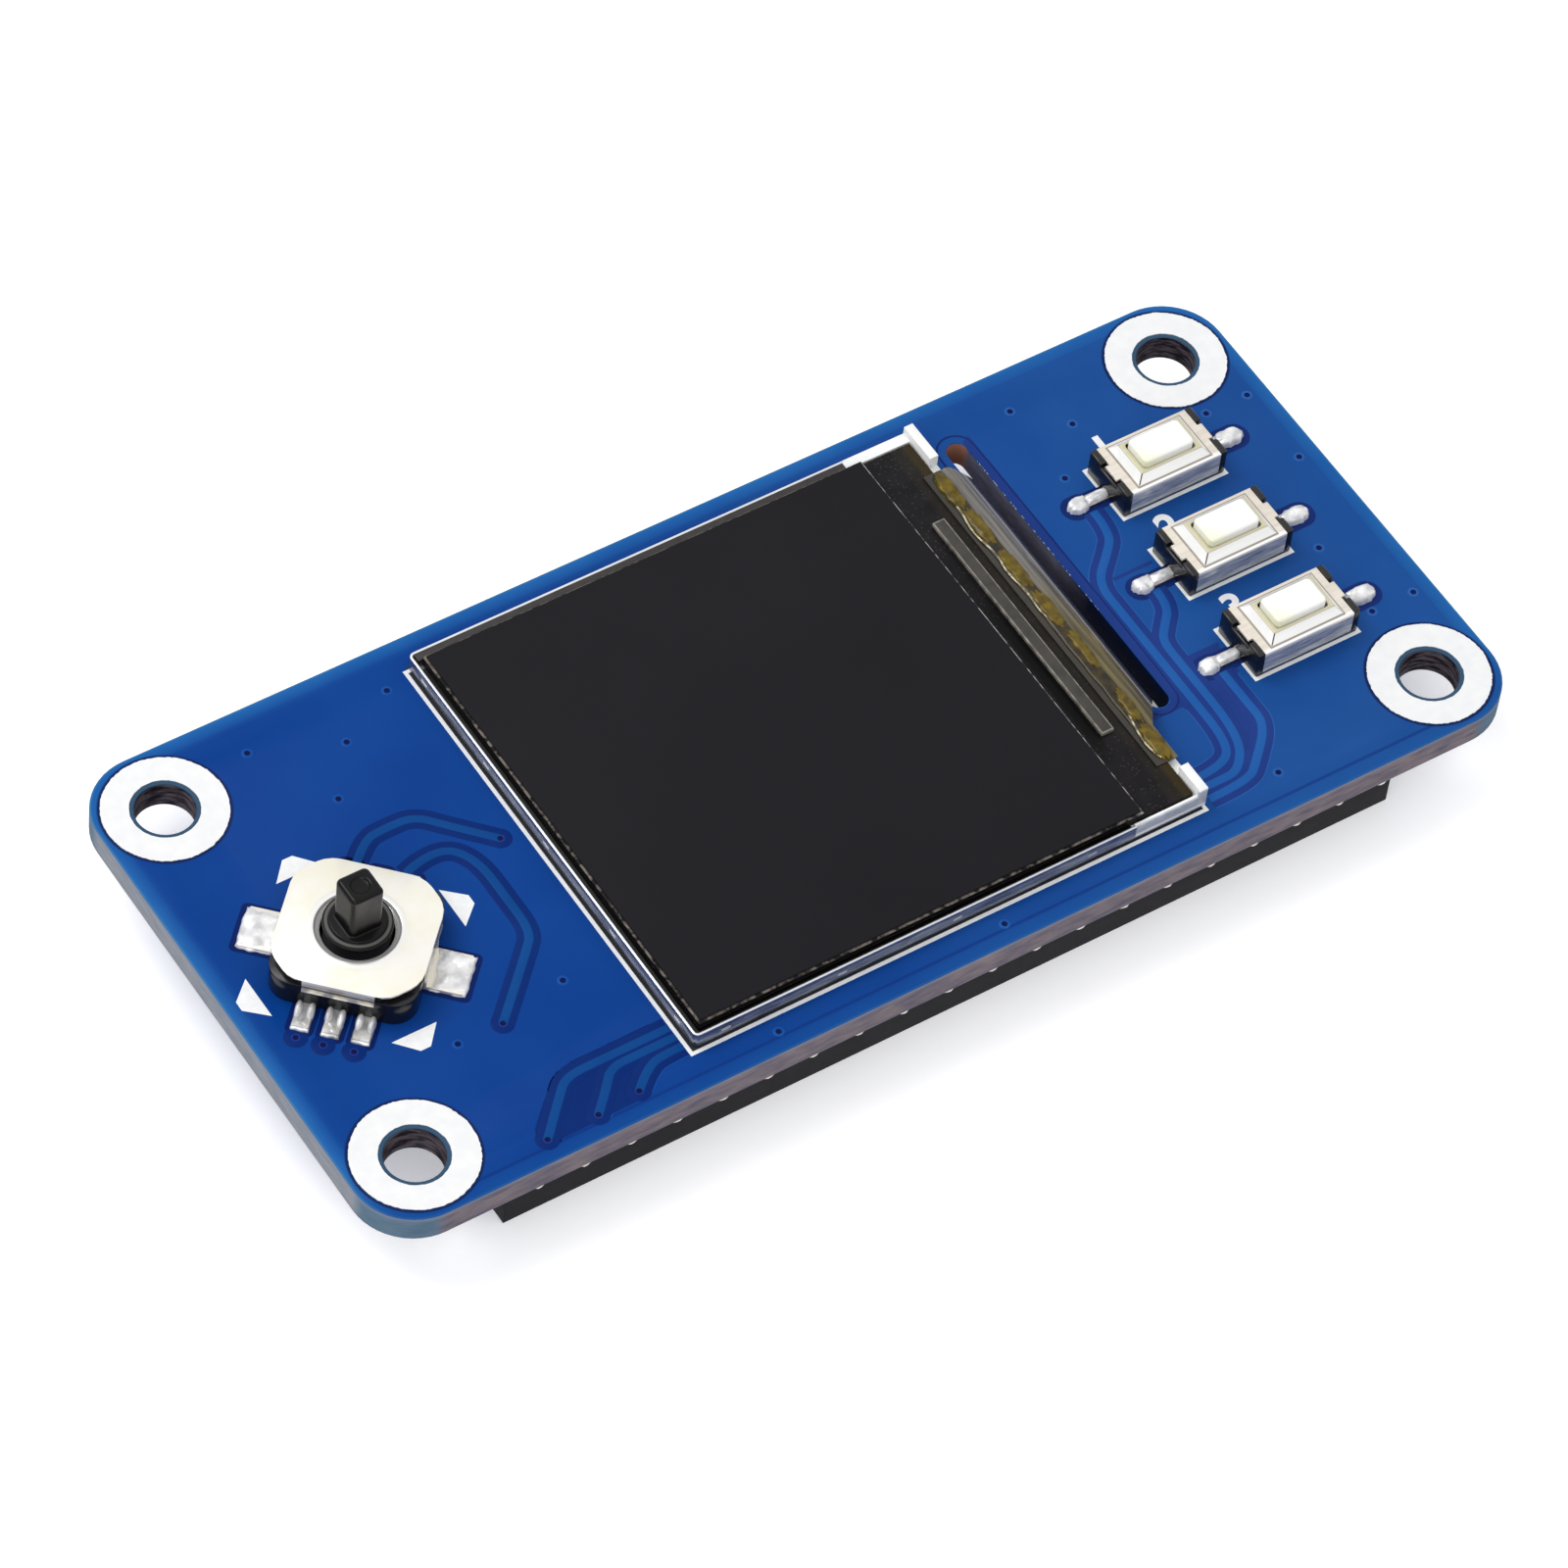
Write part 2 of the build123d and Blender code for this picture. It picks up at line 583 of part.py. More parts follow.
# Keys: black base, pressed cover with a raised ridge, ivory plunger over a click dome
key_click_dome = pressed_dome(dome_r, dome_rise)
key_knob_height = key_cover_top + key_knob_proud
plunger_top = key_cover_top + plunger_proud
plunger_flange_low = key_cover_under - plunger_flange_gap - plunger_flange_height
nub_low = key_floor + dome_rise + key_travel + dome_play
knob_x = key_base_length / 2 - key_knob_length / 2
for number, y in enumerate(key_y, start=1):
    seat = Plane((key_x, y, top))

    with BuildPart() as key_base:
        with BuildSketch(seat.offset(key_lift)):
            Rectangle(key_base_length, key_base_width)
        extrude(amount=key_base_height - key_lift)
        with BuildSketch(seat.offset(key_base_height)):
            with GridLocations(2 * knob_x, key_base_width - key_knob_width, 2, 2):
                Rectangle(key_knob_length, key_knob_width)
        extrude(amount=key_knob_height - key_base_height)
        with BuildSketch(seat.offset(key_floor)):
            Rectangle(key_well_length, key_well_width)
        extrude(amount=key_base_height, mode=Mode.SUBTRACT)
        # room for the cover's skirt on both long sides
        with BuildSketch(seat.offset(key_base_height)):
            for side in (-1, 1):
                with Locations((0, side * key_base_width / 2)):
                    Rectangle(key_cover_length, 2 * key_cover_sheet)
        extrude(amount=-(key_skirt - key_cover_top + key_base_height), mode=Mode.SUBTRACT)
        # the leads leave through a notch in each end
        with BuildSketch(seat):
            Rectangle(2 * key_base_length, key_lead_width)
            Rectangle(key_well_length, key_lead_width, mode=Mode.SUBTRACT)
        extrude(amount=key_lead_sheet, mode=Mode.SUBTRACT)
    key_base.part.label = f"key_{number}_base"
    export_step(key_base.part, f"parts/key_{number}_base.step")

    with BuildPart() as key_cover:
        with BuildSketch(seat.offset(key_cover_top - key_skirt)):
            Rectangle(key_cover_length, key_base_width)
        extrude(amount=key_skirt)
        with BuildSketch(seat.offset(key_cover_top)):
            Rectangle(key_ridge_length, key_ridge_width)
        with BuildSketch(seat.offset(key_cover_top + key_ridge_height)):
            Rectangle(key_ridge_length - 2 * key_ridge_slope, key_ridge_width - 2 * key_ridge_slope)
        loft()
        with BuildSketch(seat.offset(key_cover_top - key_skirt)):
            Rectangle(2 * key_cover_length, key_base_width - 2 * key_cover_sheet)
        extrude(amount=key_skirt - key_cover_sheet, mode=Mode.SUBTRACT)
        with BuildSketch(seat.offset(key_cover_under)):
            Rectangle(key_ridge_length - key_cover_sheet, key_ridge_width - key_cover_sheet)
        with BuildSketch(seat.offset(key_cover_under + key_ridge_height)):
            Rectangle(key_ridge_length - 2 * key_ridge_slope - key_cover_sheet,
                      key_ridge_width - 2 * key_ridge_slope - key_cover_sheet)
        loft(mode=Mode.SUBTRACT)
        with BuildSketch(seat.offset(key_cover_under)):
            opening = Rectangle(plunger_length + 2 * plunger_play, plunger_width + 2 * plunger_play)
            chamfer(opening.vertices(), plunger_corner - plunger_play / 2)
        extrude(amount=2 * key_ridge_height, mode=Mode.SUBTRACT)
        # tongues between the base's knobs
        with BuildSketch(seat.offset(key_cover_under)):
            with GridLocations(key_cover_length + key_tongue_length, 1, 2, 1):
                Rectangle(key_tongue_length, key_tongue_width)
        extrude(amount=key_cover_sheet)
    key_cover.part.label = f"key_{number}_cover"
    export_step(key_cover.part, f"parts/key_{number}_cover.step")

    with BuildPart() as key_plunger:
        with BuildSketch(seat.offset(plunger_flange_low)):
            Rectangle(key_well_length - 2 * plunger_flange_play, key_well_width - 2 * plunger_flange_play)
        extrude(amount=plunger_flange_height)
        with BuildSketch(seat.offset(plunger_flange_low)):
            RectangleRounded(plunger_length, plunger_width, plunger_corner)
        extrude(amount=plunger_top - plunger_flange_low)
        chamfer(key_plunger.faces().sort_by(Axis.Z)[-1].edges(), plunger_edge)
        with BuildSketch(seat.offset(nub_low)):
            Rectangle(plunger_nub_width, plunger_nub_width)
        extrude(amount=plunger_flange_low - nub_low)
    key_plunger.part.label = f"key_{number}_plunger"
    export_step(key_plunger.part, f"parts/key_{number}_plunger.step")

    with BuildPart() as key_dome:
        with Locations((key_x, y, top + key_floor)):
            add(key_click_dome)
    key_dome.part.label = f"key_{number}_dome"
    export_step(key_dome.part, f"parts/key_{number}_dome.step")

    with BuildPart() as key_leads:
        with BuildSketch(seat):
            Rectangle(2 * key_lead_reach, key_lead_width)
            Rectangle(key_well_length, key_lead_width, mode=Mode.SUBTRACT)
        extrude(amount=key_lead_sheet)
    key_leads.part.label = f"key_{number}_leads"
    export_step(key_leads.part, f"parts/key_{number}_leads.step")

with BuildPart() as key_solder:
    for y in key_y:
        for end in (-1, 1):
            joint_x = key_x + end * (key_base_length / 2 + key_lead_reach + solder_reach) / 2
            joint_length = key_lead_reach + solder_reach - key_base_length / 2
            with BuildSketch(Plane((joint_x, y, top))):
                Rectangle(joint_length, key_lead_width + 2 * solder_margin)
            extrude(amount=solder_height, taper=20)
    for y in key_y:
        with Locations((key_x, y, top + key_lead_sheet / 2)):
            Box(2 * key_lead_reach, key_lead_width, key_lead_sheet, mode=Mode.SUBTRACT)
key_solder.part.label = "key_solder"
export_step(key_solder.part, "parts/key_solder.step")

# Stick: base with a round well and two open bearings for the gimbal's trunnions
stick_seat = Plane(origin=(stick_x, stick_y, top),
                   x_dir=(cos(radians(stick_turn)), sin(radians(stick_turn)), 0))
stick_straight = Plane((stick_x, stick_y, top))
pivot = (stick_x, stick_y, top + pivot_height)
shoulder_size = stick_cover_size - 2 * stick_cover_sheet - 2 * running_gap
shoulder_corner = stick_cover_corner - stick_cover_sheet
bearing_r = trunnion_r + running_gap
with BuildPart() as joystick_base:
    with BuildSketch(stick_seat):
        RectangleRounded(stick_base_size, stick_base_size, stick_base_corner)
    extrude(amount=stick_cover_top - stick_skirt)
    with BuildSketch(stick_seat):
        shoulder = Rectangle(shoulder_size, shoulder_size)
        chamfer(shoulder.vertices(), shoulder_corner)
    extrude(amount=stick_shoulder_height)
    with BuildSketch(stick_straight.offset(stick_floor)):
        RegularPolygon(stick_well_r, stick_well_sides, major_radius=False)
    extrude(amount=stick_cover_top, mode=Mode.SUBTRACT)
    with BuildSketch(Plane(origin=pivot, x_dir=(0, 1, 0), z_dir=(1, 0, 0))):
        Circle(bearing_r)
        Rectangle(2 * bearing_r, stick_cover_top, align=(Align.CENTER, Align.MIN))
    extrude(amount=trunnion_reach + running_gap, both=True, mode=Mode.SUBTRACT)
    # channels for the leads, and notches for the cover's two tabs
    with BuildSketch(stick_seat):
        with GridLocations(1, stick_lead_spacing, 1, stick_lead_count):
            Rectangle(2 * stick_base_size, stick_lead_width)
            Rectangle(2 * stick_well_r, stick_lead_width, mode=Mode.SUBTRACT)
    extrude(amount=stick_lead_sheet, mode=Mode.SUBTRACT)
    with BuildSketch(stick_seat):
        Rectangle(stick_tab_width, 2 * stick_base_size)
        Rectangle(stick_tab_width, shoulder_size - running_gap, mode=Mode.SUBTRACT)
    extrude(amount=stick_cover_top, mode=Mode.SUBTRACT)
joystick_base.part.label = "joystick_base"
export_step(joystick_base.part, "parts/joystick_base.step")

with BuildPart() as joystick_cover:
    with BuildSketch(stick_seat.offset(stick_cover_top - stick_skirt)):
        RectangleRounded(stick_cover_size, stick_cover_size, stick_cover_corner)
    extrude(amount=stick_skirt)
    with BuildSketch(stick_seat.offset(stick_cover_top)):
        Circle(stick_window_r + stick_cover_sheet)
    extrude(amount=stick_collar_height, taper=10)
    with BuildSketch(stick_seat.offset(stick_cover_top - stick_skirt)):
        RectangleRounded(stick_cover_size - 2 * stick_cover_sheet, stick_cover_size - 2 * stick_cover_sheet,
                         shoulder_corner)
    extrude(amount=stick_skirt - stick_cover_sheet, mode=Mode.SUBTRACT)
    with BuildSketch(stick_seat.offset(stick_cover_top - stick_cover_sheet)):
        Circle(stick_window_r)
    extrude(amount=2 * stick_collar_height + stick_cover_sheet, mode=Mode.SUBTRACT)
    # two tabs bent down to the board and out
    for side in (-1, 1):
        with BuildSketch(stick_seat):
            with Locations((0, side * (stick_cover_size - stick_cover_sheet) / 2)):
                Rectangle(stick_tab_width, stick_cover_sheet)
        extrude(amount=stick_cover_top - stick_skirt)
        with BuildSketch(stick_seat):
            with Locations((0, side * (stick_cover_size / 2 - stick_cover_sheet + stick_tab_reach) / 2)):
                Rectangle(stick_tab_width, stick_tab_reach - stick_cover_size / 2 + stick_cover_sheet)
        extrude(amount=stick_cover_sheet)
joystick_cover.part.label = "joystick_cover"
export_step(joystick_cover.part, "parts/joystick_cover.step")

with BuildPart() as joystick_leads:
    with BuildSketch(stick_seat):
        with GridLocations(1, stick_lead_spacing, 1, stick_lead_count):
            Rectangle(2 * stick_lead_reach, stick_lead_width)
            Rectangle(2 * stick_well_r, stick_lead_width, mode=Mode.SUBTRACT)
    extrude(amount=stick_lead_sheet)
joystick_leads.part.label = "joystick_leads"
export_step(joystick_leads.part, "parts/joystick_leads.step")

# One click dome under the stick and one under each foot of the driver
switch_dome = pressed_dome(switch_dome_r, switch_dome_rise)
with BuildPart() as joystick_domes:
    with Locations((stick_x, stick_y, top + stick_floor)):
        add(switch_dome)
        with PolarLocations(driver_foot_circle, 4):
            add(switch_dome)
joystick_domes.part.label = "joystick_domes"
export_step(joystick_domes.part, "parts/joystick_domes.step")

# Eight-sided gimbal ring: trunnions along X in the base, bearings along Y for the driver
gimbal_turn = 180 / gimbal_sides
with BuildPart() as joystick_gimbal:
    with BuildSketch(stick_straight.offset(pivot_height - gimbal_height / 2)):
        RegularPolygon(gimbal_outer_r, gimbal_sides, major_radius=False, rotation=gimbal_turn)
    extrude(amount=gimbal_height)
    with BuildSketch(Plane(origin=pivot, x_dir=(0, 1, 0), z_dir=(1, 0, 0))):
        Circle(trunnion_r)
    extrude(amount=trunnion_reach, both=True)
    with BuildSketch(stick_straight):
        RegularPolygon(gimbal_inner_r, gimbal_sides, major_radius=False, rotation=gimbal_turn)
    extrude(amount=2 * pivot_height, mode=Mode.SUBTRACT)
    with BuildSketch(Plane(origin=pivot, x_dir=(1, 0, 0), z_dir=(0, 1, 0))):
        Circle(bearing_r)
    extrude(amount=stick_well_r, both=True, mode=Mode.SUBTRACT)
joystick_gimbal.part.label = "joystick_gimbal"
export_step(joystick_gimbal.part, "parts/joystick_gimbal.step")

# Driver: an eight-sided plate that tilts with the stick and presses the four side domes
driver_low = pivot_height - driver_height / 2
foot_low = stick_floor + switch_dome_rise + driver_foot_gap
with BuildPart() as joystick_driver:
    with BuildSketch(stick_straight.offset(driver_low)):
        RegularPolygon(driver_r, gimbal_sides, major_radius=False, rotation=gimbal_turn)
    extrude(amount=driver_height)
    with BuildSketch(stick_straight.offset(foot_low)):
        with PolarLocations(driver_foot_circle, 4):
            Rectangle(driver_foot_width, driver_foot_width)
    extrude(amount=driver_low - foot_low)
    with BuildSketch(Plane(origin=pivot, x_dir=(1, 0, 0), z_dir=(0, 1, 0))):
        Circle(trunnion_r)
    extrude(amount=gimbal_outer_r - running_gap, both=True)
    with BuildSketch(stick_straight):
        Rectangle(neck_width + 2 * running_gap, neck_width + 2 * running_gap)
    extrude(amount=2 * pivot_height, mode=Mode.SUBTRACT)
joystick_driver.part.label = "joystick_driver"
export_step(joystick_driver.part, "parts/joystick_driver.step")

# Stick: square neck keyed in the driver, domed skirt, stepped flange and square head with a dished top
stem_low = stick_floor + switch_dome_rise + stick_travel + dome_play
flange_top = stick_flange_bottom + stick_flange_height
head_bottom = flange_top + stick_step_height
with BuildPart() as joystick_stem:
    with BuildSketch(Plane(origin=(stick_x, stick_y, top), x_dir=(1, 0, 0), z_dir=(0, -1, 0))):
        with BuildLine():
            Polyline((0, stick_dome_bottom), (stick_dome_r - stick_flange_height, stick_dome_bottom),
                     (stick_dome_r, stick_flange_bottom), (stick_flange_r, stick_flange_bottom),
                     (stick_flange_r, flange_top), (stick_step_r, flange_top),
                     (stick_step_r, head_bottom), (0, head_bottom), close=True)
        make_face()
    revolve(axis=Axis((stick_x, stick_y, top), (0, 0, 1)))
    with BuildSketch(stick_straight.offset(stem_low)):
        Rectangle(neck_width, neck_width)
    extrude(amount=stick_dome_bottom - stem_low)
    with BuildSketch(stick_straight.offset(head_bottom)):
        RectangleRounded(stick_head, stick_head, stick_head_corner)
    extrude(amount=stick_head_top - head_bottom)
    chamfer(joystick_stem.faces().sort_by(Axis.Z)[-1].edges(), stick_head_edge)
    with BuildSketch(stick_straight.offset(stick_head_top)):
        RegularPolygon(stick_dimple_r, stick_dimple_sides)
    extrude(amount=-stick_dimple_depth, taper=30, mode=Mode.SUBTRACT)
joystick_stem.part.label = "joystick_stem"
export_step(joystick_stem.part, "parts/joystick_stem.step")

with BuildPart() as joystick_solder:
    for end in (-1, 1):
        joint_length = stick_lead_reach + solder_reach - stick_cover_size / 2
        with BuildSketch(stick_seat):
            with Locations((end * (stick_cover_size / 2 + joint_length / 2), 0)):
                with GridLocations(1, stick_lead_spacing, 1, stick_lead_count):
                    Rectangle(joint_length, stick_lead_width + solder_margin)
        extrude(amount=solder_height, taper=15)
        with BuildSketch(stick_seat):
            with Locations((0, end * (stick_tab_reach + solder_reach / 4))):
                Rectangle(stick_tab_width + solder_margin, 2 * solder_reach)
        extrude(amount=solder_height, taper=15)
    with BuildSketch(stick_seat):
        with GridLocations(1, stick_lead_spacing, 1, stick_lead_count):
            Rectangle(2 * stick_lead_reach, stick_lead_width)
    extrude(amount=stick_lead_sheet, mode=Mode.SUBTRACT)
    with BuildSketch(stick_seat):
        Rectangle(stick_tab_width, 2 * stick_tab_reach)
    extrude(amount=stick_cover_sheet, mode=Mode.SUBTRACT)
joystick_solder.part.label = "joystick_solder"
export_step(joystick_solder.part, "parts/joystick_solder.step")

# Small chips on the underside, behind the socket's pads and beside the tail: ceramic bodies, tinned ends
chip_row_y = pin_row_y + pin_spacing / 2 + contact_foot_reach + pad_margin + chip_row_gap
resistor_places = [(x, chip_row_y) for x in resistor_row_x] + [(chip_column_x, y) for y in resistor_column_y]
capacitor_places = [(x, chip_row_y) for x in capacitor_row_x] + [(chip_column_x, capacitor_column_y)]
for group, places, height in (("resistor", resistor_places, resistor_height),
                              ("capacitor", capacitor_places, capacitor_height)):
    with BuildPart() as chip_bodies:
        with BuildSketch(Plane.XY):
            with Locations(*places):
                Rectangle(chip_part_length - 2 * end_cap, chip_part_width)
        extrude(amount=-height)
    chip_bodies.part.label = f"{group}_bodies"
    export_step(chip_bodies.part, f"parts/{group}_bodies.step")

    with BuildPart() as chip_ends:
        with BuildSketch(Plane.XY):
            with Locations(*places):
                Rectangle(chip_part_length, chip_part_width)
                Rectangle(chip_part_length - 2 * end_cap, chip_part_width, mode=Mode.SUBTRACT)
        extrude(amount=-height)
    chip_ends.part.label = f"{group}_ends"
    export_step(chip_ends.part, f"parts/{group}_ends.step")

# Three-legged transistor that switches the backlight
transistor_y = chip_row_y + transistor_gap
transistor_plane = Plane(origin=(transistor_x, transistor_y, 0), x_dir=(1, 0, 0), z_dir=(0, 0, -1))
with BuildPart() as transistor_body:
    with BuildSketch(transistor_plane.offset(transistor_lift)):
        Rectangle(transistor_length, transistor_width)
    extrude(amount=transistor_height)
    chamfer(transistor_body.faces().sort_by(Axis.Z)[0].edges(), 2 * transistor_lift)
transistor_body.part.label = "transistor_body"
export_step(transistor_body.part, "parts/transistor_body.step")

with BuildPart() as transistor_leads:
    lead_level = transistor_height / 2
    lead_edge = transistor_width / 2
    lead_end = transistor_span / 2
    lead_bend = (lead_end + lead_edge) / 2
    lead_sheet = transistor_lead_sheet
    for side, lead_xs in ((1, (0,)), (-1, (-transistor_lead_spacing, transistor_lead_spacing))):
        for lead_x in lead_xs:
            with BuildSketch(Plane(origin=(transistor_x + lead_x, transistor_y, 0), x_dir=(0, side, 0),
                                   z_dir=(side, 0, 0))):
                with BuildLine():
                    Polyline((lead_edge, -lead_level), (lead_bend, -lead_level), (lead_bend, -lead_sheet),
                             (lead_end, -lead_sheet), (lead_end, 0), (lead_bend - lead_sheet, 0),
                             (lead_bend - lead_sheet, lead_sheet - lead_level),
                             (lead_edge, lead_sheet - lead_level), close=True)
                make_face()
            extrude(amount=transistor_lead_width / 2, both=True)
transistor_leads.part.label = "transistor_leads"
export_step(transistor_leads.part, "parts/transistor_leads.step")
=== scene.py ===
import json
import math

import bmesh
import bpy
from mathutils import Matrix, Vector, noise

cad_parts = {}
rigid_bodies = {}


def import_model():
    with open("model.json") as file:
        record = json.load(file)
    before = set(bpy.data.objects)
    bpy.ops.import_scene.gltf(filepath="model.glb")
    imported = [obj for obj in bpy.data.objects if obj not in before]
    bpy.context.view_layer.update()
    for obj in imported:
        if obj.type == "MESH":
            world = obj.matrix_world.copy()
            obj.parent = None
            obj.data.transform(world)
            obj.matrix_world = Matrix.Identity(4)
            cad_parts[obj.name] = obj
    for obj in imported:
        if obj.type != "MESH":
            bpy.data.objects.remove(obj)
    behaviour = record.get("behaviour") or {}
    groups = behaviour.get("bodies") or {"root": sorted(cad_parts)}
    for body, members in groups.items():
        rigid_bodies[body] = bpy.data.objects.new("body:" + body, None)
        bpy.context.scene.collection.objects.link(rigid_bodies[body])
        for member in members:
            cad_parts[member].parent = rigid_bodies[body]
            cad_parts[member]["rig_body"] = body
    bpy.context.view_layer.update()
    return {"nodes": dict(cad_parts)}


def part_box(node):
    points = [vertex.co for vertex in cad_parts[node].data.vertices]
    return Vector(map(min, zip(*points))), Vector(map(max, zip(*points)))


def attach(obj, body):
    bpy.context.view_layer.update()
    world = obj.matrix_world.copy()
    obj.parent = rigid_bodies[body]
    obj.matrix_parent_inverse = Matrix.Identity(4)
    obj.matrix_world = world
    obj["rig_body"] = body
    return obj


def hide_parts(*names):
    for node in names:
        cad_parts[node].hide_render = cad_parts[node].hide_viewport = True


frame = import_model()

mm = 0.001
boardTop = 1.6  # all places below are in millimetres, in the frame's own axes


# Helpers for meshes and objects
def boxOf(node):
    low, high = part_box(node)
    return low / mm, high / mm


def linkNew(name, data):
    made = bpy.data.objects.new(name, data)
    bpy.context.scene.collection.objects.link(made)
    return made


def vertsOf(geometry):
    return [g for g in geometry if isinstance(g, bmesh.types.BMVert)]


def openEdges(verts):
    return list({e for v in verts for e in v.link_edges if e.is_boundary})


def finishPiece(name, bm, material, nodes=(), smoothAngle=35, body="board"):
    mesh = bpy.data.meshes.new(name)
    bm.to_mesh(mesh)
    bm.free()
    mesh.materials.append(material)
    mesh.shade_smooth()
    mesh.set_sharp_from_angle(angle=math.radians(smoothAngle))
    piece = linkNew(name, mesh)
    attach(piece, body)
    if nodes:
        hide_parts(*nodes)


def finishInMm(name, bm, material, nodes=(), smoothAngle=35):
    # the same for a mesh drawn in millimetres
    bmesh.ops.recalc_face_normals(bm, faces=bm.faces)
    bmesh.ops.scale(bm, vec=(mm, mm, mm), verts=bm.verts)
    finishPiece(name, bm, material, nodes, smoothAngle)


def roundOff(bm, geometry, width, segments=2, affect="EDGES"):
    return bmesh.ops.bevel(bm, geom=list(geometry), affect=affect, offset=width, offset_type="OFFSET",
                           segments=segments, profile=0.5, material=-1, clamp_overlap=affect == "EDGES")["faces"]


def sharpEdges(bm, angle=30):
    return [e for e in bm.edges if e.is_manifold and e.calc_face_angle() > math.radians(angle)]


def thickenSheet(bm, thickness, angle, width):
    # a sheet with its outer side up gets its thickness and soft edges
    bmesh.ops.recalc_face_normals(bm, faces=bm.faces)
    if max(bm.faces, key=lambda f: f.calc_area() * abs(f.normal.z)).normal.z < 0:
        bmesh.ops.reverse_faces(bm, faces=bm.faces)
    bmesh.ops.solidify(bm, geom=list(bm.faces), thickness=thickness)
    roundOff(bm, sharpEdges(bm, angle), width)


def nodeMesh(node):
    # a merged copy of a CAD node's mesh, with its flat faces made whole
    bm = bmesh.new()
    bm.from_mesh(frame["nodes"][node].data)
    bmesh.ops.remove_doubles(bm, verts=bm.verts, dist=1e-7)
    bmesh.ops.dissolve_limit(bm, angle_limit=math.radians(1), verts=bm.verts, edges=bm.edges)
    return bm


def softCopy(node, material, width=0.03, segments=2, wide=None, wideWidth=0.2):
    # a CAD node with its edges rounded, standing for it; wide picks edges that get a larger round first
    bm = nodeMesh(node)
    if wide:
        roundOff(bm, [e for e in sharpEdges(bm) if wide(e)], wideWidth * mm, 3)
    roundOff(bm, sharpEdges(bm), width * mm, segments)
    finishPiece(node + "_finish", bm, material, [node], body=frame["nodes"][node]["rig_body"])


def paintNodes(materials):
    # a better material for CAD nodes that stay as they are
    for node, material in materials.items():
        frame["nodes"][node].data.materials[0] = material


def addCurve(bm, curve, move=(0, 0, 0)):
    # a curve or a text, made a mesh
    holder = bpy.data.objects.new(curve.name, curve)
    mesh = bpy.data.meshes.new_from_object(holder)
    bpy.data.objects.remove(holder)
    mesh.transform(Matrix.Translation(move))
    bm.from_mesh(mesh)
    bpy.data.meshes.remove(mesh)


def finishCurves(name, bm, material):
    bmesh.ops.remove_doubles(bm, verts=bm.verts, dist=1e-8)
    bmesh.ops.recalc_face_normals(bm, faces=bm.faces)
    finishPiece(name, bm, material)


def addPlate(bm, middle, half, corner, low, high, soft=0.0):
    # a flat rounded plate that lies on the board, or in it
    verts = bmesh.ops.create_cube(bm, size=2.0)["verts"]
    bmesh.ops.scale(bm, vec=(*half, (high - low) / 2), verts=verts)
    upright = {e for v in verts for e in v.link_edges if abs(e.verts[0].co.z - e.verts[1].co.z) > 1e-6}
    verts = {v for f in roundOff(bm, upright, corner, 6) for v in f.verts}
    if soft:
        rim = {e for v in verts for e in v.link_edges if min(w.co.z for w in e.verts) > 0}
        rounded = roundOff(bm, rim, soft)
        verts = {v for v in verts if v.is_valid} | {v for f in rounded for v in f.verts}
    bmesh.ops.translate(bm, vec=(*middle, boardTop + (low + high) / 2), verts=list(verts))


def seedPlace(seed):
    return Vector((seed * 3.7, seed * 1.3, seed * 2.1))


def addBlob(bm, middle, size, seed, rough=0.1):
    # one irregular drop, its underside left in the board
    blob = bmesh.ops.create_icosphere(bm, subdivisions=3, radius=1.0)["verts"]
    offset = seedPlace(seed)
    for v in blob:
        v.co *= 1 + rough * noise.noise(v.co * 1.3 + offset) + rough * 0.5 * noise.noise(v.co * 3.1 + offset)
    bmesh.ops.scale(bm, vec=size, verts=blob)
    bmesh.ops.translate(bm, vec=middle, verts=blob)
    for v in blob:
        v.co.z = max(v.co.z, boardTop - 0.02)


def addPillow(bm, middle, half, height, seed, roundness, edge=0.1, wave=0.4, steps=18, depth=0.02):
    # a pillow of solder or glue with an uneven outline, closed underneath
    verts = bmesh.ops.create_grid(bm, x_segments=steps, y_segments=steps, size=1.0)["verts"]
    offset = seedPlace(seed)
    for v in verts:
        x, y = v.co.x, v.co.y
        crown = math.sqrt(max(0.0, 1 - max(abs(x), abs(y)) ** 4))
        uneven = 1 + edge * noise.noise(Vector((x, y, 0)) * 2.6 + offset)
        lift = 1 + wave * noise.noise(Vector((x * 1.4, y * 1.4, 5)) + offset)
        v.co = Vector((x * math.sqrt(1 - roundness * y * y / 2) * half[0] * uneven,
                       y * math.sqrt(1 - roundness * x * x / 2) * half[1] * uneven, height * crown * lift))
    rim = vertsOf(bmesh.ops.extrude_edge_only(bm, edges=openEdges(verts))["geom"])
    for v in rim:
        v.co.z = -depth
    bmesh.ops.edgeloop_fill(bm, edges=openEdges(rim))
    bmesh.ops.translate(bm, vec=middle, verts=verts + rim)


# Camera, at the photograph's place
photoCamera = {"azimuth": -38.509, "elevation": 52.281, "roll": 7.337, "distance": 389.166,
               "target": (-2.363, -1.693, boardTop), "focalShare": 8262.04 / 1600, "sensor": 36.0}


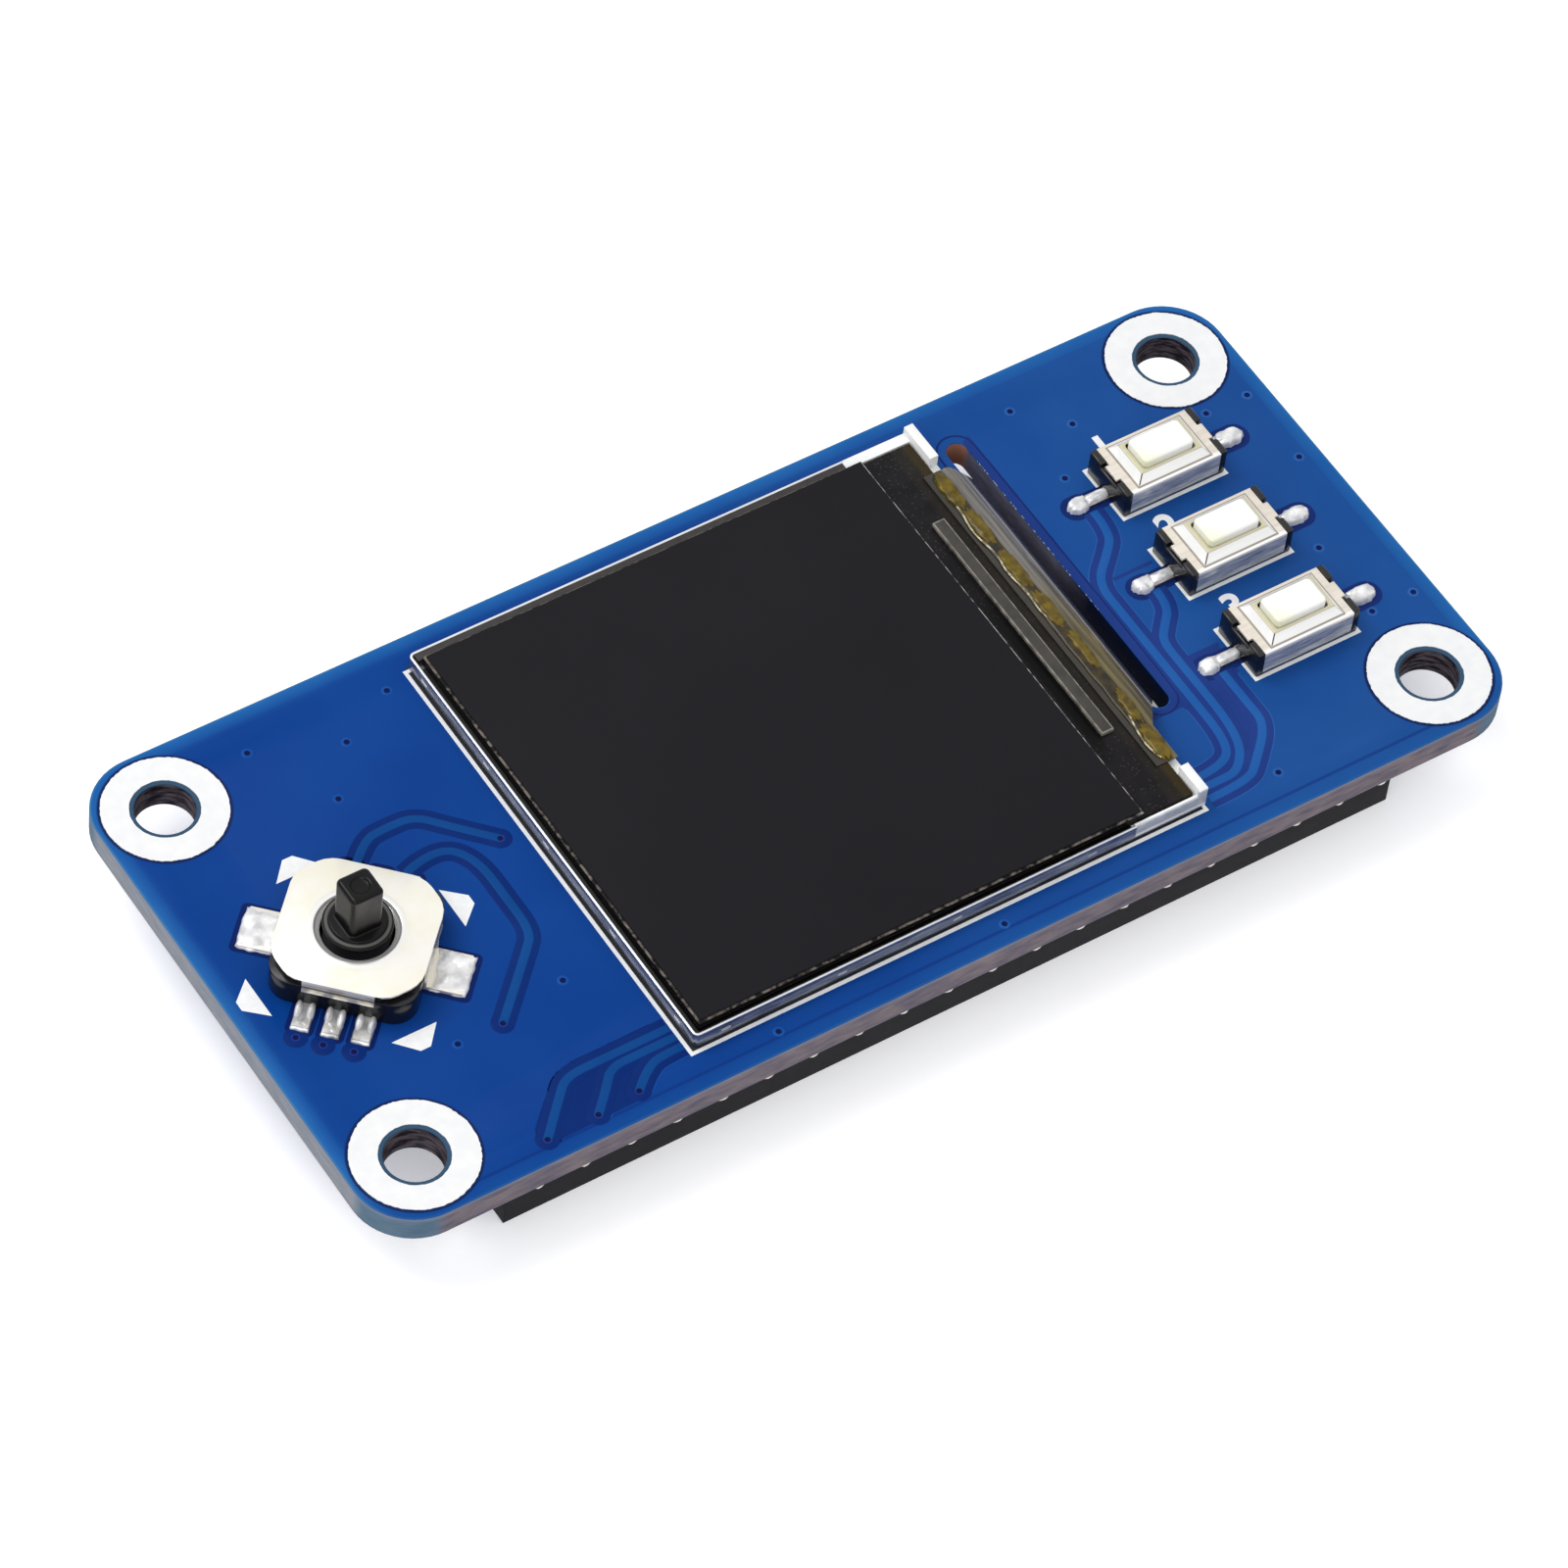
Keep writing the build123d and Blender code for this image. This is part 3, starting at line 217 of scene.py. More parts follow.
def buildCamera(c):
    az, el, roll = (math.radians(c[k]) for k in ("azimuth", "elevation", "roll"))
    back = Vector((math.sin(az) * math.cos(el), -math.cos(az) * math.cos(el), math.sin(el)))
    right = Vector((math.cos(az), math.sin(az), 0))
    up = back.cross(right)
    turnedRight = math.cos(roll) * right + math.sin(roll) * up
    turnedUp = -math.sin(roll) * right + math.cos(roll) * up
    data = bpy.data.cameras.new("camera")
    data.sensor_width = c["sensor"]
    data.lens = c["focalShare"] * c["sensor"]
    data.clip_start = 0.01
    data.clip_end = 10
    camera = linkNew("camera", data)
    place = Matrix((turnedRight, turnedUp, back)).transposed().to_4x4()
    place.translation = (Vector(c["target"]) + back * c["distance"]) * mm
    camera.matrix_world = place
    bpy.context.scene.camera = camera


buildCamera(photoCamera)
print("camera placed")


# Helpers for materials; tones are given in 0 to 255
def srgb(r, g, b):
    # the linear colour of a screen colour
    return tuple(((v / 255 + 0.055) / 1.055) ** 2.4 if v > 10 else v / 3295 for v in (r, g, b)) + (1.0,)


class nodeMaker:
    # adds nodes to one tree; every call gives back a socket, apart from add
    def __init__(self, tree):
        self.tree = tree

    def add(self, kind, inputs, **settings):
        made = self.tree.nodes.new(kind)
        for key, value in settings.items():
            setattr(made, key, value)
        for key, value in inputs.items():
            if isinstance(value, bpy.types.NodeSocket):
                self.tree.links.new(value, made.inputs[key])
            else:
                made.inputs[key].default_value = value
        return made

    def math(self, operation, *values, clamp=False):
        return self.add("ShaderNodeMath", dict(enumerate(values)), operation=operation, use_clamp=clamp).outputs[0]

    def both(self, *masks):
        # all of the masks at once: their product
        product = masks[0]
        for mask in masks[1:]:
            product = self.math("MULTIPLY", product, mask)
        return product

    def minus(self, value, other):
        return self.math("SUBTRACT", value, other)

    def absolute(self, value):
        return self.math("ABSOLUTE", value)

    def vector(self, operation, *values, output=0):
        return self.add("ShaderNodeVectorMath", dict(enumerate(values)), operation=operation).outputs[output]

    def length(self, vector):
        return self.vector("LENGTH", vector, output="Value")

    def ramp(self, value, low, high, start=0.0, end=1.0):
        return self.add("ShaderNodeMapRange", {0: value, 1: low, 2: high, 3: start, 4: end}).outputs[0]

    def band(self, value, middle, half, soft=0.05):
        # one where value lies within half of middle, zero past that by soft
        return self.ramp(self.absolute(self.minus(value, middle)), half + soft, half)

    def mix(self, share, *colours):
        # from one colour to the other; each is a tone or a socket
        first, second = (srgb(*c) if isinstance(c, tuple) else c for c in colours)
        return self.add("ShaderNodeMix", {0: share, 6: first, 7: second}, data_type="RGBA").outputs[2]

    def axes(self, where):
        return self.add("ShaderNodeSeparateXYZ", {0: where}).outputs

    def stretched(self, where, scale):
        return self.add("ShaderNodeMapping", {"Vector": where, "Scale": scale}).outputs[0]

    def group(self, group, inputs):
        return self.add("ShaderNodeGroup", inputs, node_tree=group).outputs

    def tones(self, where, toneA, toneB, size=2.0, contrast=2.0):
        return self.group(mottle, {"Vector": where, "Size": size, "Contrast": contrast,
                                   "Tone A": srgb(*toneA), "Tone B": srgb(*toneB)})["Color"]

    def dots(self, where, spacing, share):
        return self.group(specks, {"Vector": where, "Spacing": spacing, "Share": share})["Mask"]


def newGroup(name, ins, outs):
    # ins: name -> default, or the socket's type where it has none; outs: name -> type
    tree = bpy.data.node_groups.new(name, "ShaderNodeTree")
    for label, value in ins.items():
        kind = value if isinstance(value, str) else "Float"
        socket = tree.interface.new_socket(name=label, in_out="INPUT", socket_type="NodeSocket" + kind)
        if kind == "Float":
            socket.default_value = value
    for label, kind in outs.items():
        tree.interface.new_socket(name=label, in_out="OUTPUT", socket_type="NodeSocket" + kind)
    return nodeMaker(tree), tree.nodes.new("NodeGroupInput").outputs, tree.nodes.new("NodeGroupOutput").inputs


def grainGroup():
    # fine unevenness: a normal, and a value that drifts round one
    n, ins, outs = newGroup("fineGrain", {"Vector": "Vector", "Size": 0.1, "Depth": 0.002, "Drift": 0.1},
                            {"Normal": "Vector", "Value": "Float"})
    fine = n.add("ShaderNodeTexNoise", {"Vector": ins["Vector"], "Scale": n.math("DIVIDE", 1.0, ins["Size"]),
                                        "Detail": 4.0, "Roughness": 0.6}).outputs[0]
    bump = n.add("ShaderNodeBump", {"Height": fine, "Distance": n.both(ins["Depth"], mm), "Strength": 1.0})
    n.tree.links.new(bump.outputs[0], outs["Normal"])
    n.tree.links.new(n.math("MULTIPLY_ADD", n.minus(fine, 0.5), ins["Drift"], 1.0), outs["Value"])
    return n.tree


def mottleGroup():
    # two tones that pass softly into each other
    n, ins, outs = newGroup("mottle", {"Vector": "Vector", "Size": 3.0, "Contrast": 1.0, "Tone A": "Color",
                                       "Tone B": "Color"}, {"Color": "Color"})
    cloud = n.add("ShaderNodeTexNoise", {"Vector": ins["Vector"], "Scale": n.math("DIVIDE", 1.0, ins["Size"]),
                                         "Detail": 3.0}).outputs[0]
    spread = n.math("MULTIPLY_ADD", n.minus(cloud, 0.5), ins["Contrast"], 0.5, clamp=True)
    n.tree.links.new(n.mix(spread, ins["Tone A"], ins["Tone B"]), outs["Color"])
    return n.tree


def speckGroup():
    # scattered specks: one where a speck lies, zero elsewhere
    n, ins, outs = newGroup("specks", {"Vector": "Vector", "Spacing": 0.3, "Share": 0.2}, {"Mask": "Float"})
    cells = n.add("ShaderNodeTexVoronoi", {"Vector": ins["Vector"], "Scale": n.math("DIVIDE", 1.0, ins["Spacing"])})
    n.tree.links.new(n.math("LESS_THAN", cells.outputs["Distance"], ins["Share"]), outs["Mask"])
    return n.tree


grain = grainGroup()
mottle = mottleGroup()
specks = speckGroup()


def startMaterial(name, **shaderInputs):
    # a Principled material, and its pattern coordinates in millimetres
    material = bpy.data.materials.new(name)
    material.use_nodes = True
    n = nodeMaker(material.node_tree)
    for label, value in shaderInputs.items():
        n.tree.nodes["Principled BSDF"].inputs[label.replace("_", " ")].default_value = value
    return material, n, n.stretched(n.add("ShaderNodeTexCoord", {}).outputs["Object"], (1 / mm, 1 / mm, 1 / mm))


def addSurface(n, where, colour, roughness, grainSize=0.08, grainDepth=0.001, drift=0.3):
    # colour, and fine grain in both roughness and normal
    fine = n.group(grain, {"Vector": where, "Size": grainSize, "Depth": grainDepth, "Drift": drift})
    sockets = n.tree.nodes["Principled BSDF"].inputs
    n.tree.links.new(colour, sockets["Base Color"])
    n.tree.links.new(fine["Normal"], sockets["Normal"])
    n.tree.links.new(n.both(fine["Value"], roughness), sockets["Roughness"])


def finish(name, toneA, toneB, roughness, toneSize=2.0, contrast=2.0, grainSize=0.08, grainDepth=0.001, drift=0.3,
           **shaderInputs):
    # a mottled, finely grained surface, which most pieces have
    material, n, where = startMaterial(name, **shaderInputs)
    addSurface(n, where, n.tones(where, toneA, toneB, toneSize, contrast), roughness, grainSize, grainDepth, drift)
    return material


# Board: mask, cut edges, holes and slot
board = {"length": 65.0, "width": 30.0, "corner": 3.2, "holes": (29.0, 11.5), "slot": (16.43, 2.7), "edgeRound": 0.05,
         "pourEdgeShade": -0.82, "ringEdge": 3.14, "collar": 1.78}


def outlineDistance(n, where, b):
    # how far a point lies outside the board's outline, negative inside, and how far round a corner it is
    reach = (b["length"] / 2 - b["corner"], b["width"] / 2 - b["corner"], 100.0)
    past = n.vector("SUBTRACT", n.vector("ABSOLUTE", where), reach)
    outer = n.length(n.vector("MAXIMUM", past, (0.0, 0.0, 0.0)))
    parts = n.axes(past)
    inner = n.math("MINIMUM", n.math("MAXIMUM", parts[0], parts[1]), 0.0)
    return n.minus(n.math("ADD", outer, inner), b["corner"]), n.math("MINIMUM", parts[0], parts[1])


def holeDistance(n, where, b):
    off = n.vector("SUBTRACT", n.vector("ABSOLUTE", where), (*b["holes"], 0.0))
    return n.length(n.vector("MULTIPLY", off, (1.0, 1.0, 0.0)))


def acrossBoard(n, where, left, right, size=7.0):
    # a mask tone that is lighter towards the keys
    share = n.ramp(n.axes(where)[0], -14.0, 22.0)
    return n.mix(share, n.tones(where, *left, size), n.tones(where, *right, size))


def boardMaterial(b):
    material, n, where = startMaterial("blueMask", Specular_IOR_Level=0.06)
    x, y, z = n.axes(where)
    distance, cornerness = outlineDistance(n, where, b)
    fromHole = holeDistance(n, where, b)
    isMask = n.math("GREATER_THAN", n.absolute(n.minus(z, boardTop / 2)), boardTop / 2 - 0.045)

    # the mask, paler at its rim but not along the front, with painted shade at the copper pour's edge and a painted
    # highlight on the board's top edge
    blue = acrossBoard(n, where, ((4, 56, 132), (10, 64, 140)), ((19, 69, 139), (29, 79, 147)))
    rim = n.tones(where, (20, 88, 158), (34, 102, 170), 5.0)
    notFront = n.ramp(y, -14.0, -11.0, 0.25, 1.0)
    # painted shade: a dark line at the pour's edge step, stronger towards the front
    pourEdgeShade = n.both(n.band(distance, b["pourEdgeShade"], 0.03, 0.1), n.ramp(y, -12.0, -13.0, 0.15, 0.6))
    slotX, slotY = b["slot"]
    slotEdge = n.both(n.band(x, slotX + 0.56, 0.03, 0.03), n.ramp(y, -1.0, 1.0), n.ramp(y, 11.3, 11.0))
    for mask, tone in ((n.both(n.ramp(distance, -1.0, -0.05), notFront), rim), (pourEdgeShade, (8, 40, 112)),
                       # painted highlight: a pale band on the top of the cut edge, weaker at the front
                       (n.both(n.band(distance, 0.0, 0.06, 0.05), notFront), (58, 112, 158)),
                       (n.band(fromHole, b["ringEdge"], 0.07, 0.08), (12, 34, 84)),
                       (n.ramp(fromHole, b["collar"] + 0.02, b["collar"] - 0.02), (52, 80, 106)),
                       (n.both(slotEdge, n.dots(where, 0.16, 0.4)), (196, 206, 222))):
        blue = n.mix(mask, blue, tone)

    # cut edges: glass cloth in layers, violet and brown in the slot, with painted light by which way each face looks,
    # and painted shade in the holes and on the slot wall's front
    layered = n.stretched(where, (0.7, 0.7, 3.0))
    # painted shadow: the slot wall turns dark navy towards its front
    slotWallWithShade = n.mix(n.ramp(y, 3.5, 0.5), n.tones(layered, (70, 72, 94), (104, 104, 122), 0.8, 1.6), (6, 16, 44))
    slotWallWithShade = n.mix(n.ramp(y, slotY + 8.6, slotY + 9.1), slotWallWithShade, (156, 108, 88))
    edge = n.tones(layered, (90, 88, 106), (138, 126, 128), 0.9, 1.8)
    # painted light: the end faces paler and the rounded corners bluer than the long sides
    for mask, tone in ((n.math("GREATER_THAN", n.absolute(x), b["length"] / 2 - 0.1),
                        n.tones(layered, (124, 130, 140), (150, 154, 162), 1.0, 1.5)),
                       (n.ramp(cornerness, 0.0, 0.7), n.tones(layered, (78, 104, 126), (104, 126, 144), 1.0, 1.5)),
                       (n.ramp(z, boardTop - 0.35, boardTop - 0.1, 0.0, 0.6), (132, 136, 156)),
                       # painted shade: the hole walls darkened
                       (n.math("LESS_THAN", fromHole, 2.0), n.tones(layered, (26, 22, 30), (92, 84, 92), 0.6, 4.5)),
                       (n.both(n.band(x, slotX, 0.62, 0.01), n.band(y, slotY, 9.52, 0.01)), slotWallWithShade)):
        edge = n.mix(mask, edge, tone)
    addSurface(n, where, n.mix(isMask, edge, blue), n.ramp(isMask, 0.0, 1.0, 0.75, 0.38), 0.35, 0.0015)
    return material


softCopy("circuit_board", boardMaterial(board), board["edgeRound"])

tinFinish = finish("levelledTin", (240, 240, 240), (228, 229, 231), 0.5, toneSize=0.6, contrast=1.5,
                   grainSize=0.25, grainDepth=0.003, Metallic=0.1, Specular_IOR_Level=0.4)
inkFinish = finish("whiteInk", (244, 244, 244), (230, 232, 234), 0.6, toneSize=0.4, grainSize=0.06,
                   grainDepth=0.003, Specular_IOR_Level=0.3)

holeRing = {"innerR": 1.72, "outerR": 3.1, "foil": 0.035, "steps": 180, "roughness": 0.032}


def buildRings(r, holes):
    bm = bmesh.new()
    for sx in (-1, 1):
        for sy in (-1, 1):
            for z, outward in ((boardTop, 1), (0.0, -1)):
                middle = Vector((sx * holes[0], sy * holes[1], z))
                inner = bmesh.ops.create_circle(bm, segments=r["steps"], radius=r["innerR"])["verts"]
                outer = bmesh.ops.create_circle(bm, segments=r["steps"], radius=r["outerR"])["verts"]
                for v in outer:
                    v.co *= 1 + r["roughness"] * (0.25 * noise.noise(v.co * 1.5 + middle)
                                                  + 0.4 * noise.noise(v.co * 9.0 + middle))
                for v in inner:
                    v.co *= 1 + 0.012 * noise.noise(v.co * 6.0 + middle)
                loops = {e for v in inner + outer for e in v.link_edges}
                flat = bmesh.ops.bridge_loops(bm, edges=list(loops))["faces"]
                raised = vertsOf(bmesh.ops.extrude_face_region(bm, geom=flat)["geom"])
                bmesh.ops.translate(bm, vec=(0, 0, outward * r["foil"]), verts=raised)
                bmesh.ops.translate(bm, vec=middle, verts=inner + outer + raised)
    finishInMm("tinned_rings", bm, tinFinish, ["hole_rings"])


buildRings(holeRing, board["holes"])
paintNodes({"board_print": inkFinish})
print("board dressed")


# Tracks, vias, clearances and numerals on the mask
tracks = {"width": 0.42, "gap": 0.36, "halo": 0.06, "thickness": 0.02,
          "routes": (((-22.8, 4.2), (-21.7, 5.3), (-20.5, 5.4), (-18.9, 5.35), (-17.8, 4.1), (-15.98, 2.2)),
                     ((-21.0, 2.6), (-20.2, 2.95), (-18.4, 2.95), (-17.58, 1.4), (-17.58, -0.8), (-17.58, -3.2),
                      (-18.4, -4.1), (-21.54, -7.12)),
                     ((-14.9, -11.17), (-18.6, -11.17), (-20.6, -11.17), (-21.5, -12.05), (-23.2, -13.8)),
                     ((-14.9, -11.76), (-17.0, -11.76), (-18.5, -11.76), (-19.3, -12.7), (-20.4, -13.77)),
                     ((-14.9, -12.37), (-15.6, -12.37), (-16.9, -12.5), (-18.02, -13.56)),
                     ((20.25, 5.1), (20.25, 3.5), (19.3, 2.5), (17.88, 1.2), (17.88, -0.9), (17.88, -6.5),
                      (17.88, -10.2), (16.9, -11.2), (15.2, -11.2)),
                     ((20.17, -0.5), (20.17, -1.7), (19.2, -2.7), (18.64, -3.4), (18.64, -5.0), (18.64, -10.1),
                      (17.4, -11.82), (16.2, -11.85), (15.2, -11.85)),
                     ((20.13, -6.4), (20.13, -8.6), (20.13, -10.1), (18.4, -11.8), (17.5, -12.55), (15.1, -12.55)))}
breaks = {"width": 0.18, "routes": (((18.7, 1.02), (21.0, 1.02)), ((19.0, -4.84), (21.0, -4.84)))}
patches = {"level": -0.006,
           "outlines": (((17.0, 12.0), (17.5, 12.2), (17.5, 1.5), (17.9, 1.0), (17.9, -7.6), (17.3, -7.6),
                         (17.2, -7.25), (15.5, -7.25), (15.6, -6.75), (16.0, -6.8), (16.43, -6.85), (16.86, -6.7),
                         (17.0, -6.3)),
                        ((18.6, -4.85), (20.9, -4.85), (20.9, -6.8), (20.13, -6.9), (20.13, -9.9), (19.6, -10.7),
                         (18.2, -12.05), (17.3, -12.55), (15.2, -12.55), (15.2, -11.85), (17.3, -11.75),
                         (18.6, -10.1)),
                        ((-23.75, -13.9), (-23.4, -13.0), (-22.1, -11.75), (-20.87, -10.8), (-19.8, -10.56),
                         (-14.9, -10.56), (-14.9, -12.8), (-16.25, -13.0), (-17.25, -13.5), (-17.6, -14.0),
                         (-23.5, -14.1)))}
vias = {"holeR": 0.16, "rimR": 0.23, "haloR": 0.62, "plainHaloR": 0.3, "flat": 0.008,
        "ends": ((-15.98, 2.2), (-21.54, -7.12), (-23.2, -13.8), (-20.4, -13.77), (-18.02, -13.56),
                 (-30.4, -3.05), (-29.5, -4.05), (-28.45, -5.1)),
        "plain": ((-23.9, 12.5), (-16.1, 12.5), (-19.4, 10.75), (-21.5, 8.0), (-17.78, -6.38), (-24.0, -7.1),
                  (20.2, 12.5), (22.5, 10.3), (20.2, 7.55), (28.8, 7.6), (31.3, 7.6), (31.3, 3.0), (28.8, -2.3),
                  (28.8, -6.9), (31.3, -6.9), (19.0, -12.85), (-10.5, -13.9), (2.3, -13.9))}
slotLine = {"gap": 0.5, "half": (0.55, 9.45), "width": 0.09}


def maskFinish(name, left, right):
    material, n, where = startMaterial(name, Specular_IOR_Level=0.06)
    addSurface(n, where, acrossBoard(n, where, left, right, 4.0), 0.38, 0.35, 0.0015)
    return material


trackFinish = maskFinish("trackMask", ((6, 62, 128), (14, 71, 138)), ((28, 84, 156), (38, 94, 166)))
gapFinish = maskFinish("gapMask", ((2, 36, 104), (8, 44, 112)), ((26, 52, 122), (36, 62, 132)))
haloFinish = maskFinish("haloMask", ((14, 70, 148), (20, 78, 156)), ((34, 84, 156), (44, 94, 166)))
# painted shade: dark discs stand for the shade down each via's hole
holeShadeFinish = maskFinish("viaHollow", ((6, 14, 58), (12, 24, 76)), ((6, 14, 58), (14, 26, 82)))
lilacFinish = maskFinish("viaRim", ((22, 44, 124), (50, 66, 150)), ((22, 44, 124), (50, 66, 150)))
clearFinish = maskFinish("clearance", ((4, 26, 84), (8, 34, 96)), ((16, 38, 100), (24, 48, 114)))


def layRibbons(name, routes, width, level, thickness, material, closed=False):
    # flat smooth ribbons, each on its own level so that no two coincide
    curve = bpy.data.curves.new(name + "_routes", "CURVE")
    curve.dimensions = "3D"
    curve.twist_mode = "Z_UP"
    curve.extrude = width / 2 * mm
    curve.bevel_depth = thickness / 2 * mm
    curve.bevel_resolution = 1
    curve.resolution_u = 8
    curve.use_fill_caps = True
    for index, route in enumerate(routes):
        spline = curve.splines.new("NURBS")
        spline.points.add(len(route) - 1)
        for point, (x, y) in zip(spline.points, route):
            point.co = (x * mm, y * mm, (boardTop + level + index * 0.0005) * mm, 1)
            point.tilt = math.pi / 2
        spline.order_u = 3
        spline.use_cyclic_u = closed
        spline.use_endpoint_u = not closed
    bm = bmesh.new()
    addCurve(bm, curve)
    finishCurves(name, bm, material)


def layPatches(name, outlines, level, thickness, material):
    # flat areas of mask, filled from their outlines
    curve = bpy.data.curves.new(name + "_outlines", "CURVE")
    curve.dimensions = "2D"
    curve.fill_mode = "BOTH"
    curve.extrude = thickness / 2
    for outline in outlines:
        spline = curve.splines.new("POLY")
        spline.points.add(len(outline) - 1)
        for point, (x, y) in zip(spline.points, outline):
            point.co = (x, y, 0, 1)
        spline.use_cyclic_u = True
    bm = bmesh.new()
    addCurve(bm, curve, (0, 0, boardTop + level))
    bmesh.ops.remove_doubles(bm, verts=bm.verts, dist=1e-5)
    finishInMm(name, bm, material)


gapWidth = tracks["width"] + 2 * tracks["gap"]
layPatches("gap_patches", patches["outlines"], patches["level"], tracks["thickness"], gapFinish)
layRibbons("track_halos", tracks["routes"], gapWidth + 2 * tracks["halo"], -0.011, tracks["thickness"], haloFinish)
layRibbons("pour_breaks", breaks["routes"], breaks["width"], -0.004, tracks["thickness"], gapFinish)
layRibbons("track_gaps", tracks["routes"], gapWidth, -0.002, tracks["thickness"], gapFinish)
layRibbons("tracks", tracks["routes"], tracks["width"], 0.004, tracks["thickness"], trackFinish)


def slotOutline(s, middle):
    # points round the slot, closer at its ends so that the spline keeps their round shape
    width, length = (half + s["gap"] for half in s["half"])
    turn = [math.radians(a) for a in range(0, 181, 30)]
    far = [(middle[0] + width * math.cos(a), middle[1] + length - width + width * math.sin(a)) for a in turn]
    near = [(middle[0] - width * math.cos(a), middle[1] - length + width - width * math.sin(a)) for a in turn]
    return (*far, *near)


layRibbons("slot_line", [slotOutline(slotLine, board["slot"])], slotLine["width"], 0.001, tracks["thickness"],
           clearFinish, closed=True)


def buildDiscs(name, places, radius, height, material, bothSides=True):
    # flat discs that taper outwards, on the top and, where asked, on the underside
    bm = bmesh.new()
    ends = ((boardTop, radius, radius * 0.92), (0, radius * 0.92, radius))
    for x, y in places:
        for z, lowR, highR in ends if bothSides else ends[:1]:
            disc = bmesh.ops.create_cone(bm, cap_ends=True, segments=20, radius1=lowR, radius2=highR,
                                         depth=height * 2)["verts"]
            bmesh.ops.translate(bm, vec=(x, y, z), verts=disc)
    finishInMm(name, bm, material)


buildDiscs("via_halos", vias["ends"], vias["haloR"], vias["flat"] * 1.1, gapFinish, bothSides=False)
buildDiscs("via_shades", vias["plain"], vias["plainHaloR"], vias["flat"], haloFinish)
buildDiscs("via_rims", vias["ends"], vias["rimR"], vias["flat"] * 1.6, lilacFinish)
# the via holes are flat discs of painted shade
buildDiscs("via_holes", (*vias["ends"], *vias["plain"]), vias["holeR"], vias["flat"] * 2.2, holeShadeFinish)

numerals = {"height": 2.2, "thickness": 0.02, "bold": 0.07, "x": 22.45, "rise": 0.17}


def buildNumerals(n):
    bm = bmesh.new()
    for number in (1, 2, 3):
        text = bpy.data.curves.new(f"numeral_{number}", "FONT")
        text.body = str(number)
        text.size = n["height"] * mm
        text.offset = n["bold"] * mm
        text.extrude = n["thickness"] / 2 * mm
        keyBack = boxOf(f"key_{number}_base")[1].y
        addCurve(bm, text, Vector((n["x"], keyBack + n["rise"], boardTop + n["thickness"] / 2)) * mm)
    finishCurves("key_numerals", bm, inkFinish)


buildNumerals(numerals)
print("tracks, vias and numerals laid")


# Socket strip
mouldingFinish = finish("blackMoulding", (30, 28, 32), (40, 38, 42), 0.55, toneSize=1.5, grainSize=0.05,
                        grainDepth=0.004, Specular_IOR_Level=0.2)
contactFinish = finish("platedContact", (186, 180, 164), (214, 208, 192), 0.3, toneSize=0.3, grainSize=0.1,
                       Metallic=1.0)
solderFinish = finish("solder", (208, 208, 211), (252, 252, 252), 0.24, toneSize=0.6, contrast=3.5, grainSize=0.3,
                      grainDepth=0.005, drift=0.5, Metallic=0.25)
leadFinish = finish("leadSolder", (140, 140, 142), (238, 238, 238), 0.22, toneSize=0.9, contrast=2.5, grainSize=0.3,
                    grainDepth=0.003, Metallic=0.5)
creamSolder = finish("creamSolder", (214, 208, 196), (244, 240, 230), 0.4, toneSize=0.2, grainSize=0.15,
                     Metallic=0.2)
stripFinish = finish("stripMoulding", (20, 18, 22), (29, 27, 31), 0.6, toneSize=1.5, grainSize=0.05, grainDepth=0.004,
                     Specular_IOR_Level=0.12)
softCopy("header_housing", stripFinish, 0.06)
paintNodes({"header_contacts": contactFinish, "header_pads": tinFinish})

footSolder = {"pitch": 2.54, "count": 20, "rowY": -11.5, "reach": 3.17, "size": (0.34, 0.24, 0.27), "z": -0.2}


def buildFootSolder(f):
    bm = bmesh.new()
    for side in (-1, 1):
        for index in range(f["count"]):
            x = (index - (f["count"] - 1) / 2) * f["pitch"]
            blob = bmesh.ops.create_icosphere(bm, subdivisions=2, radius=1.0)["verts"]
            bmesh.ops.scale(bm, vec=f["size"], verts=blob)
            for v in blob:
                v.co *= 1 + 0.12 * noise.noise(v.co * 5.0 + Vector((x, side, 0)))
            bmesh.ops.translate(bm, vec=(x, f["rowY"] + side * f["reach"], f["z"]), verts=blob)
    bmesh.ops.scale(bm, vec=(mm, mm, mm), verts=bm.verts)
    finishPiece("header_solder", bm, creamSolder, smoothAngle=60)


buildFootSolder(footSolder)
print("socket strip done")


# Display
screenFinish = finish("screenFilm", (28, 27, 31), (31, 30, 34), 0.5, toneSize=9.0, grainSize=0.05,
                      grainDepth=0.001, Specular_IOR_Level=0.06)
# black tape, also used for the painted shadow round the display's foot
tapeAndShadowFinish = finish("blackTapeAndShadow", (24, 24, 26), (34, 34, 36), 0.8, toneSize=1.0)
guideFinish = finish("clearAcrylic", (190, 198, 202), (206, 212, 216), 0.2, toneSize=2.0)
filmFinish = finish("milkyFilm", (214, 216, 220), (226, 228, 230), 0.5, toneSize=2.0)
display = {"step": 11.12, "ledge": 2.65, "glassTop": 2.95, "wallEnd": 10.45, "trayTop": 2.57,
           # margin: a black sheet of painted shadow that peeks out round the display's foot
           "chip": (12.48, 0.04, 0.28, 7.42), "margin": ((0.01, 0.15), (14.65, 13.05), 0.1, 0.0, 0.018)}


